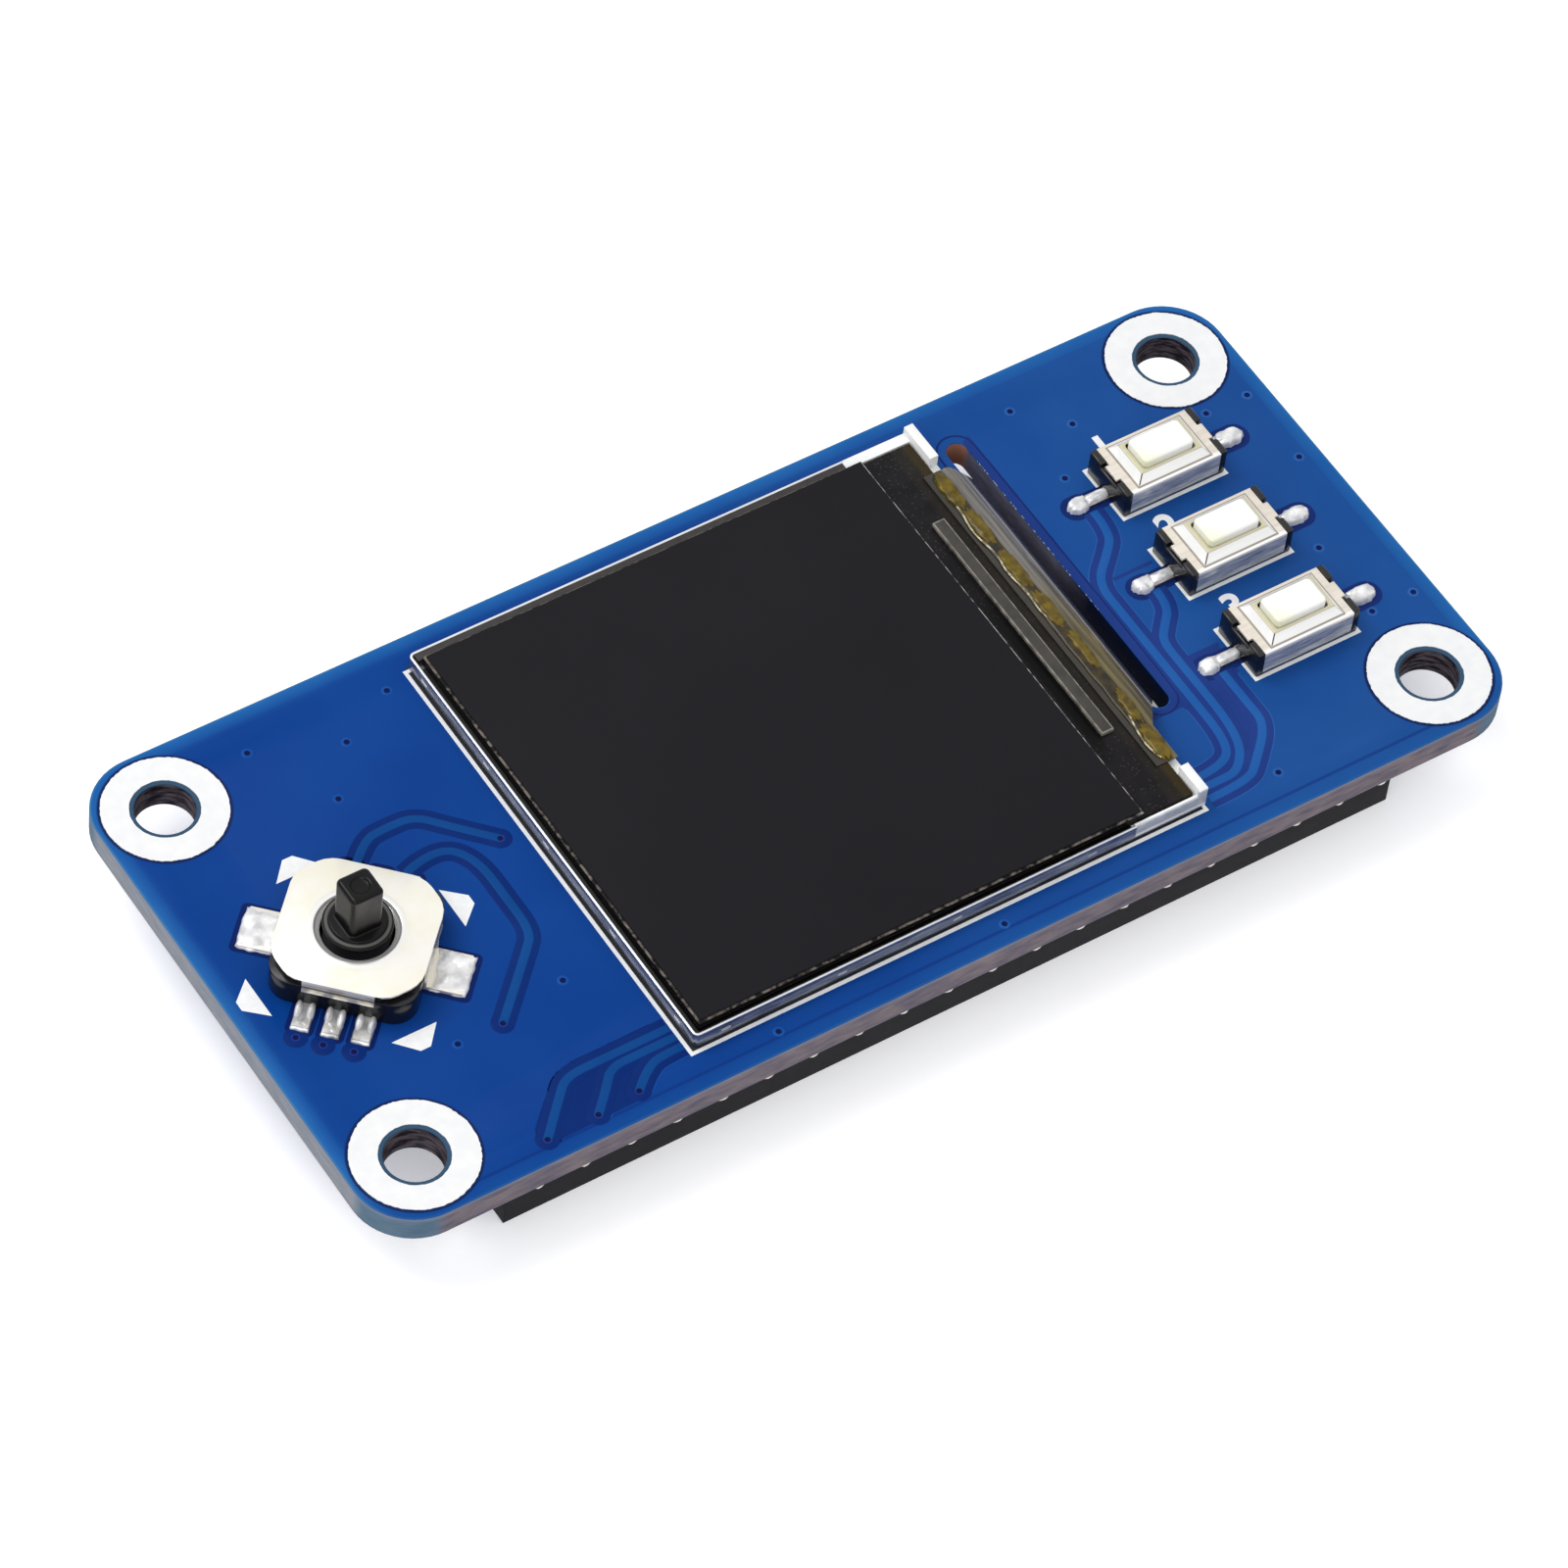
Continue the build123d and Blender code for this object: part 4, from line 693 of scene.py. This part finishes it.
def siliconMaterial(d):
    # grey strip with a paler border
    material, n, where = startMaterial("bareSilicon", Specular_IOR_Level=0.2)
    x, y, z = n.axes(where)
    chipX, chipY, halfX, halfY = d["chip"]
    past = n.math("MAXIMUM", n.minus(n.absolute(n.minus(x, chipX)), halfX),
                  n.minus(n.absolute(n.minus(y, chipY)), halfY))
    grey = n.tones(where, (57, 55, 51), (73, 70, 66), 0.8)
    paleBorder = n.tones(where, (96, 92, 86), (150, 145, 136), 0.5, 3.0)
    addSurface(n, where, n.mix(n.ramp(past, -0.02, 0.02), grey, paleBorder), 0.4)
    return material


def trayMaterial(d):
    # blue-grey walls, a painted reflection of the blue board in the steel, with a white top edge
    material, n, where = startMaterial("traySteel", Metallic=0.8)
    # painted reflection: the board's blue in the walls, given as their colour
    wall = n.tones(n.stretched(where, (0.6, 0.6, 3.0)), (94, 104, 130), (148, 156, 172), 0.9, 3.5)
    top = n.ramp(n.axes(where)[2], d["trayTop"] - 0.03, d["trayTop"])
    addSurface(n, where, n.mix(top, wall, (240, 242, 246)), 0.3, 0.3, 0.004)
    return material


def frameMaterial(d):
    # white plastic, painted black as shadow in the gap between the tray's wall and the glass, with painted shade on its
    # front wall
    material, n, where = startMaterial("whitePlastic", Specular_IOR_Level=0.35)
    x, y, z = n.axes(where)
    besideGlass = n.ramp(x, d["wallEnd"] + 0.05, d["wallEnd"])
    # painted shade: the front wall greyed blue
    frontWall = n.both(n.ramp(y, -12.68, -12.74), n.ramp(z, 3.02, 2.96), n.ramp(z, 1.98, 2.06), 0.8)
    backWall = n.both(n.ramp(y, 12.45, 12.5), besideGlass)
    # painted shadow: black in the gap beside the glass
    gapShadow = n.both(n.band(z, 2.42, 0.2, 0.02), besideGlass, n.ramp(y, 12.3, 12.25, 0.85, 1.0))
    colour = n.tones(where, (232, 234, 234), (244, 244, 244), 1.0)
    for mask, tone in ((frontWall, n.tones(where, (120, 130, 148), (166, 172, 184), 0.5)),
                       (backWall, n.tones(where, (92, 84, 84), (126, 116, 112), 0.5)), (gapShadow, (10, 10, 12))):
        colour = n.mix(mask, colour, tone)
    addSurface(n, where, colour, 0.42, 0.1, 0.002)
    return material


def glassMaterial(d):
    # charcoal ledge with specks, black side walls, and a broken pale line along the cut edges
    material, n, where = startMaterial("displayGlass", Specular_IOR_Level=0.08)
    x, y, z = n.axes(where)
    besideChip = n.both(n.band(x, 11.78, 0.2, 0.22), n.ramp(y, 5.0, -1.0), n.ramp(y, -9.0, -7.0))
    ledge = n.tones(where, (20, 19, 22), (32, 30, 32), 1.2, 2.5)
    for mask, tone in ((n.both(n.dots(where, 0.2, 0.17), 0.4), (96, 94, 94)), (besideChip, (10, 10, 11)),
                       (n.both(n.band(x, 13.4, 0.35, 0.3), 0.35), (48, 43, 34)),
                       (n.both(n.band(x, 14.0, 0.3, 0.25), 0.6), (62, 52, 24))):
        ledge = n.mix(mask, ledge, tone)
    margin = n.mix(n.math("GREATER_THAN", x, d["step"] - 0.1), n.tones(where, (30, 28, 28), (120, 112, 104), 0.4, 6.0),
                   n.tones(where, (54, 52, 54), (178, 176, 174), 0.5, 6.0))
    colour = n.mix(n.band(z, d["ledge"], 0.03, 0.01), (8, 8, 9), ledge)
    colour = n.mix(n.ramp(z, d["glassTop"] - 0.03, d["glassTop"] - 0.02), colour, margin)
    addSurface(n, where, colour, 0.35, 0.15, 0.003, 0.5)
    return material


def flexMaterial():
    # grey towards the back, olive towards the front, with long streaks of painted highlight; dark on the glass, brown
    # under the board; a painted highlight on the bend and painted shade past it
    material, n, where = startMaterial("amberFlex", Coat_Weight=0.35, Coat_Roughness=0.12, Specular_IOR_Level=0.4)
    x, y, z = n.axes(where)
    # the long streaks stand for painted highlights along the flex
    highlightStreaks = n.stretched(where, (4.0, 0.16, 4.0))
    onGlass = n.both(n.ramp(x, 14.5, 14.35), n.ramp(z, 2.5, 2.6))
    colour = n.tones(highlightStreaks, (78, 76, 74), (128, 124, 118), 0.8, 3.0)
    for mask, tone in ((n.ramp(y, 3.5, -1.5), n.tones(highlightStreaks, (50, 43, 22), (112, 100, 58), 0.8, 3.0)),
                       # painted highlight along the outer bend, then painted shade where the flex drops into the slot
                       (n.band(x, 15.5, 0.03, 0.03), (168, 160, 134)), (n.ramp(x, 15.62, 15.7), (26, 24, 20)),
                       (onGlass, n.tones(where, (30, 27, 24), (48, 42, 30), 0.8)),
                       (n.ramp(z, 1.5, 0.8), (120, 76, 34))):
        colour = n.mix(mask, colour, tone)
    addSurface(n, where, colour, 0.28, 0.4, 0.006)
    return material


# painted shadow: a thin black sheet under the display, showing round its foot as the shadow gap there
def layTapeMargin(margin):
    bm = bmesh.new()
    addPlate(bm, *margin)
    finishInMm("shadow_margin", bm, tapeAndShadowFinish)


displayGlass = glassMaterial(display)
paintNodes({"mounting_tape": tapeAndShadowFinish, "light_guide": guideFinish, "optical_films": filmFinish,
            "rear_polariser": screenFinish, "flex_solder": solderFinish})
softCopy("backlight_tray", trayMaterial(display), 0.03)
# painted shadow round the display's foot
layTapeMargin(display["margin"])
softCopy("backlight_frame", frameMaterial(display), 0.04)
softCopy("tft_glass", displayGlass, 0.02)
softCopy("colour_filter_glass", displayGlass, 0.02)
softCopy("front_polariser", screenFinish, 0.02)
softCopy("driver_chip", siliconMaterial(display), 0.03)
finishPiece("display_flex_finish", nodeMesh("display_flex"), flexMaterial(), ["display_flex"], 50)

glue = {"strip": ((13.72, 14.5), (-10.2, 10.2), 0.12),
        "patches": ((14.1, 8.9, 0.4, 1.25), (14.12, 6.3, 0.38, 1.3), (14.16, 3.2, 0.38, 1.4), (14.2, 0.3, 0.4, 1.35),
                    (14.3, -2.6, 0.3, 1.4), (14.25, -6.6, 0.3, 1.2), (14.18, -9.0, 0.42, 1.15)),
        "contour": ((14.0, 10.0), (13.72, 8.6), (13.9, 7.7), (13.62, 6.4), (13.72, 5.2), (13.95, 4.4), (13.66, 3.3),
                    (13.9, 1.7), (13.74, 0.4), (14.05, -0.8), (13.95, -2.6), (14.1, -4.4), (14.2, -6.0), (13.85, -7.6),
                    (13.6, -9.2), (13.9, -10.0))}


def glueMaterial(name, toneA, toneB):
    material, n, where = startMaterial(name, Specular_IOR_Level=0.25, Coat_Weight=0.1, Coat_Roughness=0.08)
    addSurface(n, where, n.tones(where, toneA, toneB, 0.5, 3.5), 0.15, 0.4, 0.01)
    return material


def buildGlue(g):
    low, high = boxOf("flex_glue")
    (left, right), (front, back), height = g["strip"]
    bm = bmesh.new()
    addPillow(bm, ((left + right) / 2, (front + back) / 2, low.z), ((right - left) / 2, (back - front) / 2), height,
              1.3, 0.1, edge=0.02, steps=40, depth=0.06)
    for v in bm.verts:
        v.co.x += 0.06 * noise.noise(Vector((0.3, v.co.y * 0.9, 0)))
    finishInMm("glue_bead", bm, glueMaterial("darkGlue", (34, 30, 24), (62, 52, 26)), ["flex_glue"], 60)
    bm = bmesh.new()
    for seed, (x, y, halfX, halfY) in enumerate(g["patches"]):
        addPillow(bm, (x, y, low.z + 0.06), (halfX, halfY), height + 0.02, seed + 0.4, 0.9, edge=0.3, wave=0.3,
                  steps=20, depth=0.06)
    finishInMm("glue_patches", bm, glueMaterial("amberGlue", (74, 61, 4), (110, 91, 12)),
               smoothAngle=60)
    # painted highlight: a pale line along the glue's edge, where its ridge catches light
    edgeHighlight = finish("glueEdgeHighlight", (112, 104, 74), (196, 190, 164), 0.3, toneSize=0.3, contrast=6.0)
    layRibbons("glue_contour", [g["contour"]], 0.05, high.z - boardTop - 0.04, 0.05, edgeHighlight)


buildGlue(glue)
print("display done")


# Keys
glossBlack = finish("glossBlack", (12, 12, 13), (22, 22, 23), 0.2, toneSize=0.8, grainSize=0.2,
                    grainDepth=0.004, Specular_IOR_Level=0.5)
key = {"x": 24.40, "pitch": 5.77, "middleY": -0.083, "plate": (5.3, 3.3), "top": 1.6, "sheet": 0.15, "skirtEnd": 0.18,
       "steps": ((4.4, 2.9, 0.0), (3.56, 2.06, 0.5), (3.16, 1.86, 0.5)), "openingCorner": 0.2, "tongue": (0.25, 1.0),
       "foot": (2.2, 1.45), "ridge": (1.78, 1.03)}


def keyPlace(n, where, k):
    # place within one key, the same on each
    x, y, z = n.axes(where)
    wrapped = n.math("WRAP", y, k["middleY"] + k["pitch"] / 2, k["middleY"] - k["pitch"] / 2)
    return n.minus(x, k["x"]), n.minus(wrapped, k["middleY"]), z


def keySteel(k):
    # warm plate; slopes and front fold whitened as painted highlights; painted shade on the fold lines and a painted
    # dark reflection on the mitres; olive frame round the plunger; blue-grey skirts, a painted reflection of the board
    material, n, where = startMaterial("keySteel", Metallic=0.4)
    x, y, z = keyPlace(n, where, k)
    plateZ = boardTop + k["top"]
    fine = n.stretched(where, (0.5, 4.0, 4.0))
    wide, deep = n.absolute(x), n.absolute(y)
    footX, footY = k["foot"]
    mitre = n.minus(n.minus(wide, footX), n.minus(deep, footY))
    frontLeft = n.both(n.math("LESS_THAN", x, 0.0), n.math("LESS_THAN", y, 0.0))
    # painted highlights: white slopes, and a whiter fold along the front
    layers = [(n.ramp(z, plateZ + 0.02, plateZ + 0.06), n.tones(fine, (246, 246, 245), (254, 254, 253), 1.0)),
              (n.both(n.ramp(y, -1.38, -1.46), n.ramp(z, plateZ - 0.16, plateZ - 0.1)), (252, 251, 249))]
    # painted shade: thin grey lines along the foot and the top of the ridge
    for halfX, halfY in (k["foot"], k["ridge"]):
        past = n.math("MAXIMUM", n.minus(wide, halfX), n.minus(deep, halfY))
        layers.append((n.both(n.band(past, 0.0, 0.03, 0.03), 0.8), (124, 114, 98)))
    # painted reflection: a dark line along each mitre, strongest at the front left
    layers += [(n.both(n.band(mitre, 0.0, 0.035, 0.03), n.ramp(z, plateZ + 0.04, plateZ + 0.1),
                       n.math("MULTIPLY_ADD", frontLeft, 0.7, 0.25)), (48, 44, 40)),
               (n.ramp(z, plateZ + 0.45, plateZ + 0.47), (212, 206, 176)),
               # painted reflection of the blue board on the skirts
               (n.ramp(z, plateZ - 0.16, plateZ - 0.24), n.tones(fine, (138, 146, 162), (204, 208, 216), 0.6, 3.0))]
    colour = n.tones(fine, (220, 210, 198), (240, 232, 220), 1.0)
    for mask, tone in layers:
        colour = n.mix(mask, colour, tone)
    addSurface(n, where, colour, 0.24, 0.5, 0.003)
    return material


def ivoryMaterial(k):
    # white towards the back right, yellowish towards the front left as painted shade, the same on each key
    material, n, where = startMaterial("ivoryMoulding", Specular_IOR_Level=0.4, Coat_Weight=0.15, Coat_Roughness=0.1)
    x, y, z = keyPlace(n, where, k)
    shadedIvory = n.mix(n.ramp(n.math("MULTIPLY_ADD", y, 0.9, x), -2.4, -0.6), (240, 241, 206), (250, 250, 246))
    addSurface(n, where, shadedIvory, 0.26, 0.3, 0.002)
    return material


def resizeFace(face, length, width, z):
    for v in face.verts:
        v.co = (math.copysign(length / 2, v.co.x), math.copysign(width / 2, v.co.y), z)


def buildKeyCover(number, k, material):
    bm = bmesh.new()
    bmesh.ops.create_grid(bm, x_segments=1, y_segments=1, size=1.0)
    bm.faces.ensure_lookup_table()
    plate = bm.faces[0]
    resizeFace(plate, *k["plate"], k["top"])
    for length, width, rise in k["steps"]:
        bmesh.ops.inset_individual(bm, faces=[plate], thickness=0.02)
        resizeFace(plate, length, width, k["top"] + rise)
    roundOff(bm, plate.verts, k["openingCorner"], 2, "VERTICES")
    opening = min(bm.faces, key=lambda f: f.calc_center_median().xy.length)
    bmesh.ops.delete(bm, geom=[opening], context="FACES_ONLY")
    halfLength, halfWidth = k["plate"][0] / 2, k["plate"][1] / 2
    run, tongueWidth = k["tongue"]
    for y in (-tongueWidth / 2, tongueWidth / 2):
        bmesh.ops.bisect_plane(bm, geom=[*bm.verts, *bm.edges, *bm.faces], plane_co=(0, y, 0), plane_no=(0, 1, 0))
    for side in (-1, 1):
        tongue = [e for e in bm.edges if all(abs(v.co.x - side * halfLength) < 1e-4
                                             and abs(v.co.y) < tongueWidth / 2 + 1e-4 for v in e.verts)]
        moved = vertsOf(bmesh.ops.extrude_edge_only(bm, edges=tongue)["geom"])
        bmesh.ops.translate(bm, vec=(side * run, 0, 0), verts=moved)
        skirt = [e for e in bm.edges if all(abs(v.co.y - side * halfWidth) < 1e-4 for v in e.verts)]
        moved = vertsOf(bmesh.ops.extrude_edge_only(bm, edges=skirt)["geom"])
        bmesh.ops.translate(bm, vec=(0, 0, k["skirtEnd"] - k["top"]), verts=moved)
    thickenSheet(bm, k["sheet"], 25, 0.045)
    low, high = boxOf(f"key_{number}_base")
    bmesh.ops.translate(bm, vec=(k["x"], (low.y + high.y) / 2, boardTop), verts=bm.verts)
    finishInMm(f"key_{number}_cover_finish", bm, material, [f"key_{number}_cover"],
               smoothAngle=30)


steelFinish = finish("brightSteel", (214, 212, 206), (236, 234, 228), 0.2, toneSize=1.2, grainSize=0.5,
                     grainDepth=0.004, Metallic=1.0)
coverSteel = keySteel(key)
ivoryFinish = ivoryMaterial(key)
for number in (1, 2, 3):
    softCopy(f"key_{number}_base", glossBlack, 0.05,
             wide=lambda e: min(abs(v.co.x / mm - key["x"]) for v in e.verts) > 2.7)
    buildKeyCover(number, key, coverSteel)
    softCopy(f"key_{number}_plunger", ivoryFinish, 0.08, 3)
    paintNodes({f"key_{number}_dome": steelFinish, f"key_{number}_leads": contactFinish})

keySolder = {"left": (19.74, 0.62, 0.47), "neck": (20.85, 0.85, 0.33), "right": (28.8, 0.88, 0.5), "height": 0.42,
             "clearance": 0.3, "toCover": 1.1, "leadHalf": {"right": 0.6, "left": 0.7}}


def buildKeySolder(k):
    joints = bmesh.new()
    shades = bmesh.new()
    gap = k["clearance"]
    for number in (1, 2, 3):
        low, high = boxOf(f"key_{number}_leads")
        y = (low.y + high.y) / 2
        for seed, part in enumerate(("left", "neck", "right")):
            x, halfX, halfY = k[part]
            addPillow(joints, (x, y, boardTop), (halfX, halfY), k["height"], number * 3 + seed, 0.95, edge=0.14,
                      wave=0.25)
            if part != "neck":
                addPlate(shades, (x, y), (halfX + gap, halfY + gap), halfY + gap - 0.02, -0.01, 0.008)
        for part, side in (("right", -1), ("left", 1)):
            addPlate(shades, (k[part][0] + side * k["toCover"], y), (k["leadHalf"][part], k["left"][2] + gap * 0.6),
                     0.1, -0.01, 0.007)
    finishInMm("key_solder_joints", joints, solderFinish, ["key_solder"], 60)
    finishInMm("key_clearances", shades, clearFinish)


buildKeySolder(keySolder)
print("keys done")


# Five-way stick
stick = {"middle": (-25.43, -0.22), "turn": math.radians(45), "size": 7.4, "cut": 1.35, "cutRound": 0.6, "top": 2.0,
         "sheet": 0.12, "skirtEnd": 1.22, "hem": 0.05,
         "window": ((2.45, 2.0), (2.34, 2.03), (2.18, 2.08), (2.08, 2.06), (2.0, 1.92), (1.84, 1.85), (1.78, 1.82)),
         "tab": (1.2, 5.35, 0.2), "leadPitch": 1.47, "pad": (4.42, 0.72, 0.47, 0.2), "lobe": (3.98, 0.52, 0.19, 0.5)}


def stickRadius(n, x, y, s):
    middleX, middleY = s["middle"]
    return n.length(n.add("ShaderNodeCombineXYZ", {0: n.minus(x, middleX), 1: n.minus(y, middleY)}).outputs[0])


def stickSteel(s):
    # cream plate, whiter round the window as a painted highlight; skirts darkened as a painted reflection, with a
    # painted dark line under the fold and a white hem that is a painted highlight
    material, n, where = startMaterial("champagneSteel", Metallic=0.6)
    x, y, z = n.axes(where)
    radius = stickRadius(n, x, y, s)
    plate = n.tones(where, (252, 248, 230), (255, 253, 246), 1.4, 3.0)
    # painted highlight on the collar round the window
    plate = n.mix(n.ramp(radius, 2.38, 2.3), plate, (250, 250, 248))
    # painted reflection: the skirts darker than the plate
    skirt = n.tones(where, (206, 196, 172), (240, 232, 212), 0.6, 3.0)
    # painted shade: a dark line under the fold
    skirt = n.mix(n.band(z, boardTop + 1.55, 0.03, 0.04), skirt, (96, 86, 70))
    # painted highlight on the hem
    skirt = n.mix(n.ramp(z, boardTop + 1.36, boardTop + 1.28), skirt, (246, 242, 232))
    below = n.both(n.ramp(z, boardTop + 1.88, boardTop + 1.78), n.ramp(radius, 2.5, 2.6))
    addSurface(n, where, n.mix(below, plate, skirt), 0.22, 0.6, 0.003)
    return material


def stemMaterial(s):
    # black, greyer up its sides as a painted reflection, mostly on the front face, with a painted highlight ring round
    # the flange
    material, n, where = startMaterial("stemBlack", Specular_IOR_Level=0.2)
    x, y, z = n.axes(where)
    radius = stickRadius(n, x, y, s)
    # painted reflection: the sides greyer towards the top, most on the front face
    front = n.ramp(y, s["middle"][1] - 0.78, s["middle"][1] - 0.86, 0.12, 1.0)
    side = n.both(n.ramp(z, 4.6, 6.5), n.ramp(radius, 0.78, 0.86), n.ramp(z, 6.84, 6.78), front)
    # painted highlight: a pale ring round the flange
    flangeHighlight = n.both(n.band(radius, 1.52, 0.05, 0.05), n.ramp(z, 4.4, 4.3), 0.35)
    colour = n.tones(where, (8, 8, 8), (16, 15, 15), 0.8)
    colour = n.mix(side, colour, n.tones(where, (78, 76, 74), (98, 95, 92), 0.8))
    addSurface(n, where, n.mix(flangeHighlight, colour, (150, 148, 144)), 0.22, 0.3, 0.005)
    return material


def turnStick(bm, s):
    bmesh.ops.rotate(bm, cent=(0, 0, 0), matrix=Matrix.Rotation(s["turn"], 3, "Z"), verts=bm.verts)
    bmesh.ops.translate(bm, vec=(*s["middle"], 0), verts=bm.verts)


def buildStickCover(s):
    bm = bmesh.new()
    bmesh.ops.create_grid(bm, x_segments=1, y_segments=1, size=s["size"] / 2)
    for offset, segments in ((s["cut"], 1), (s["cutRound"], 3)):
        roundOff(bm, bm.verts, offset, segments, "VERTICES")
    bmesh.ops.delete(bm, geom=list(bm.faces), context="FACES_ONLY")
    radius = s["window"][0][0]
    hole = bmesh.ops.create_circle(bm, segments=72, radius=radius)["verts"]
    bmesh.ops.triangle_fill(bm, use_beauty=True, use_dissolve=False, edges=list(bm.edges), normal=(0, 0, 1))
    bmesh.ops.translate(bm, vec=(0, 0, s["top"]), verts=bm.verts)
    loop = openEdges(hole)
    for nextRadius, z in s["window"][1:]:
        moved = vertsOf(bmesh.ops.extrude_edge_only(bm, edges=loop)["geom"])
        for v in moved:
            v.co.xy *= nextRadius / radius
            v.co.z = z
        loop = openEdges(moved)
        radius = nextRadius
    half = s["size"] / 2
    for axis in (0, 1):
        for side in (-1, 1):
            edges = [e for e in bm.edges if e.is_boundary and all(abs(v.co[axis] - side * half) < 1e-4
                                                                  for v in e.verts)]
            for drop, out in ((0.55, 0.0), (s["top"] - s["skirtEnd"] - 0.55, s["hem"])):
                moved = vertsOf(bmesh.ops.extrude_edge_only(bm, edges=edges)["geom"])
                bmesh.ops.translate(bm, vec=(out * side * (1 - axis), out * side * axis, -drop), verts=moved)
                edges = list({e for v in moved for e in v.link_edges if e.other_vert(v) in moved})
    thickenSheet(bm, s["sheet"], 35, 0.05)
    bmesh.ops.translate(bm, vec=(0, 0, boardTop), verts=bm.verts)
    tabHalf, reach, foot = s["tab"]
    for side in (-1, 1):
        addPlate(bm, (0, side * (half + reach) / 2), (tabHalf, (reach - half) / 2 + 0.1), 0.1, 0.0, foot, 0.04)
        addPlate(bm, (0, side * (half - 0.1)), (tabHalf, 0.1), 0.02, 0.02, 0.9, 0.02)
    turnStick(bm, s)
    finishInMm("joystick_cover_finish", bm, stickSteel(s), ["joystick_cover"])


def buildStickSolder(s):
    joints = bmesh.new()
    shades = bmesh.new()
    leads = bmesh.new()
    padX, padHalfX, padHalfY, padHeight = s["pad"]
    lobeX, *lobeSize = s["lobe"]
    tabHalf, reach, foot = s["tab"]
    tabY, tabLength = (s["size"] / 2 + reach) / 2 + 0.15, (reach - s["size"] / 2) / 2
    for end in (-1, 1):
        for index in (-1, 0, 1):
            y = index * s["leadPitch"]
            seed = end * 5 + index + 20
            addPillow(leads, (end * padX, y, boardTop), (padHalfX, padHalfY), padHeight, seed, 0.15, edge=0.05,
                      wave=0.25)
            addPlate(shades, (end * (padX - 0.1), y), (padHalfX + 0.32, padHalfY + 0.22), 0.35, -0.01, 0.008)
            for side in (-1, 1):
                addBlob(joints, (end * lobeX, y + side * 0.3, boardTop + 0.05), lobeSize, seed + side)
        addPillow(joints, (0, end * tabY, boardTop + foot * 0.4), (tabHalf + 0.02, tabLength + 0.12), 0.2, end * 9 + 31,
                  0.12, wave=0.7, steps=26, depth=foot * 0.4 + 0.02)
        addPlate(shades, (0, end * tabY), (tabHalf + 0.26, tabLength + 0.36), 0.3, -0.01, 0.008)
    for bm in (joints, shades, leads):
        turnStick(bm, s)
    finishInMm("stick_solder_joints", joints, solderFinish, ["joystick_solder"], 60)
    finishInMm("stick_lead_solder", leads, leadFinish, smoothAngle=60)
    finishInMm("stick_clearances", shades, clearFinish)


softCopy("joystick_base", glossBlack, 0.06)
buildStickCover(stick)
softCopy("joystick_stem", stemMaterial(stick), 0.07, 3)
buildStickSolder(stick)
paintNodes({"joystick_domes": steelFinish, "joystick_gimbal": mouldingFinish, "joystick_driver": mouldingFinish,
            "joystick_leads": leadFinish})
print("stick done")


# Small parts on the underside
chipBlack = finish("chipBlack", (30, 30, 32), (40, 40, 42), 0.45, toneSize=0.5, grainSize=0.06, grainDepth=0.003)
chipTan = finish("chipTan", (150, 122, 92), (168, 140, 108), 0.45, toneSize=0.5, grainSize=0.06, grainDepth=0.003)
paintNodes({"resistor_bodies": chipBlack, "resistor_ends": solderFinish, "capacitor_bodies": chipTan,
            "capacitor_ends": solderFinish, "transistor_body": chipBlack, "transistor_leads": contactFinish})


# Floor and light
stage = {"floorZ": -3.41, "size": 3.0, "glow": 0.32}


def buildFloor(s):
    bm = bmesh.new()
    bmesh.ops.create_grid(bm, x_segments=1, y_segments=1, size=s["size"])
    bmesh.ops.translate(bm, vec=(0, 0, s["floorZ"] * mm), verts=bm.verts)
    mesh = bpy.data.meshes.new("floor")
    bm.to_mesh(mesh)
    bm.free()
    material, n, where = startMaterial("paleFloor", Base_Color=(0.88, 0.88, 0.9, 1), Roughness=0.9,
                                       Specular_IOR_Level=0.0, Emission_Color=(1, 1, 1, 1))
    sockets = n.tree.nodes["Principled BSDF"].inputs
    path = n.add("ShaderNodeLightPath", {}).outputs
    seen = n.math("MAXIMUM", n.math("MAXIMUM", path["Is Camera Ray"], path["Is Glossy Ray"]),
                  path["Is Transmission Ray"])
    n.tree.links.new(n.both(seen, s["glow"]), sockets["Emission Strength"])
    below = n.add("ShaderNodeNewGeometry", {}).outputs["Backfacing"]
    n.tree.links.new(n.minus(1.0, below), sockets["Alpha"])  # the underside can be looked at
    mesh.materials.append(material)
    floor = linkNew("floor", mesh)


buildFloor(stage)

lamps = {"key": {"place": (-160, 230, 420), "size": 260, "power": 0.78},
         "fill": {"place": (-320, -260, 330), "size": 320, "power": 0.46}}


def buildLamps(every):
    for name, lamp in every.items():
        data = bpy.data.lights.new(name, "AREA")
        data.size = lamp["size"] * mm
        data.energy = lamp["power"]
        light = linkNew(name, data)
        light.location = Vector(lamp["place"]) * mm
        light.rotation_euler = (-Vector(lamp["place"])).to_track_quat("-Z", "Y").to_euler()


buildLamps(lamps)

sky = {"low": (-0.1, 0.3), "high": (0.7, 0.92)}  # height of the direction, and how bright it is there


def buildWorld(s):
    world = bpy.data.worlds.new("studio")
    bpy.context.scene.world = world
    world.use_nodes = True
    n = nodeMaker(world.node_tree)
    background = n.tree.nodes["Background"].inputs
    height = n.axes(n.add("ShaderNodeTexCoord", {}).outputs["Generated"])[2]
    level = n.ramp(height, s["low"][0], s["high"][0], s["low"][1], s["high"][1])
    seen = n.add("ShaderNodeLightPath", {}).outputs["Is Camera Ray"]
    level = n.add("ShaderNodeMix", {0: seen, 2: level, 3: 1.0}, data_type="FLOAT").outputs[0]
    n.tree.links.new(level, background["Strength"])
    background["Color"].default_value = (1, 1, 1, 1)


buildWorld(sky)
bpy.context.scene.view_settings.view_transform = "Standard"
print("floor and light set")
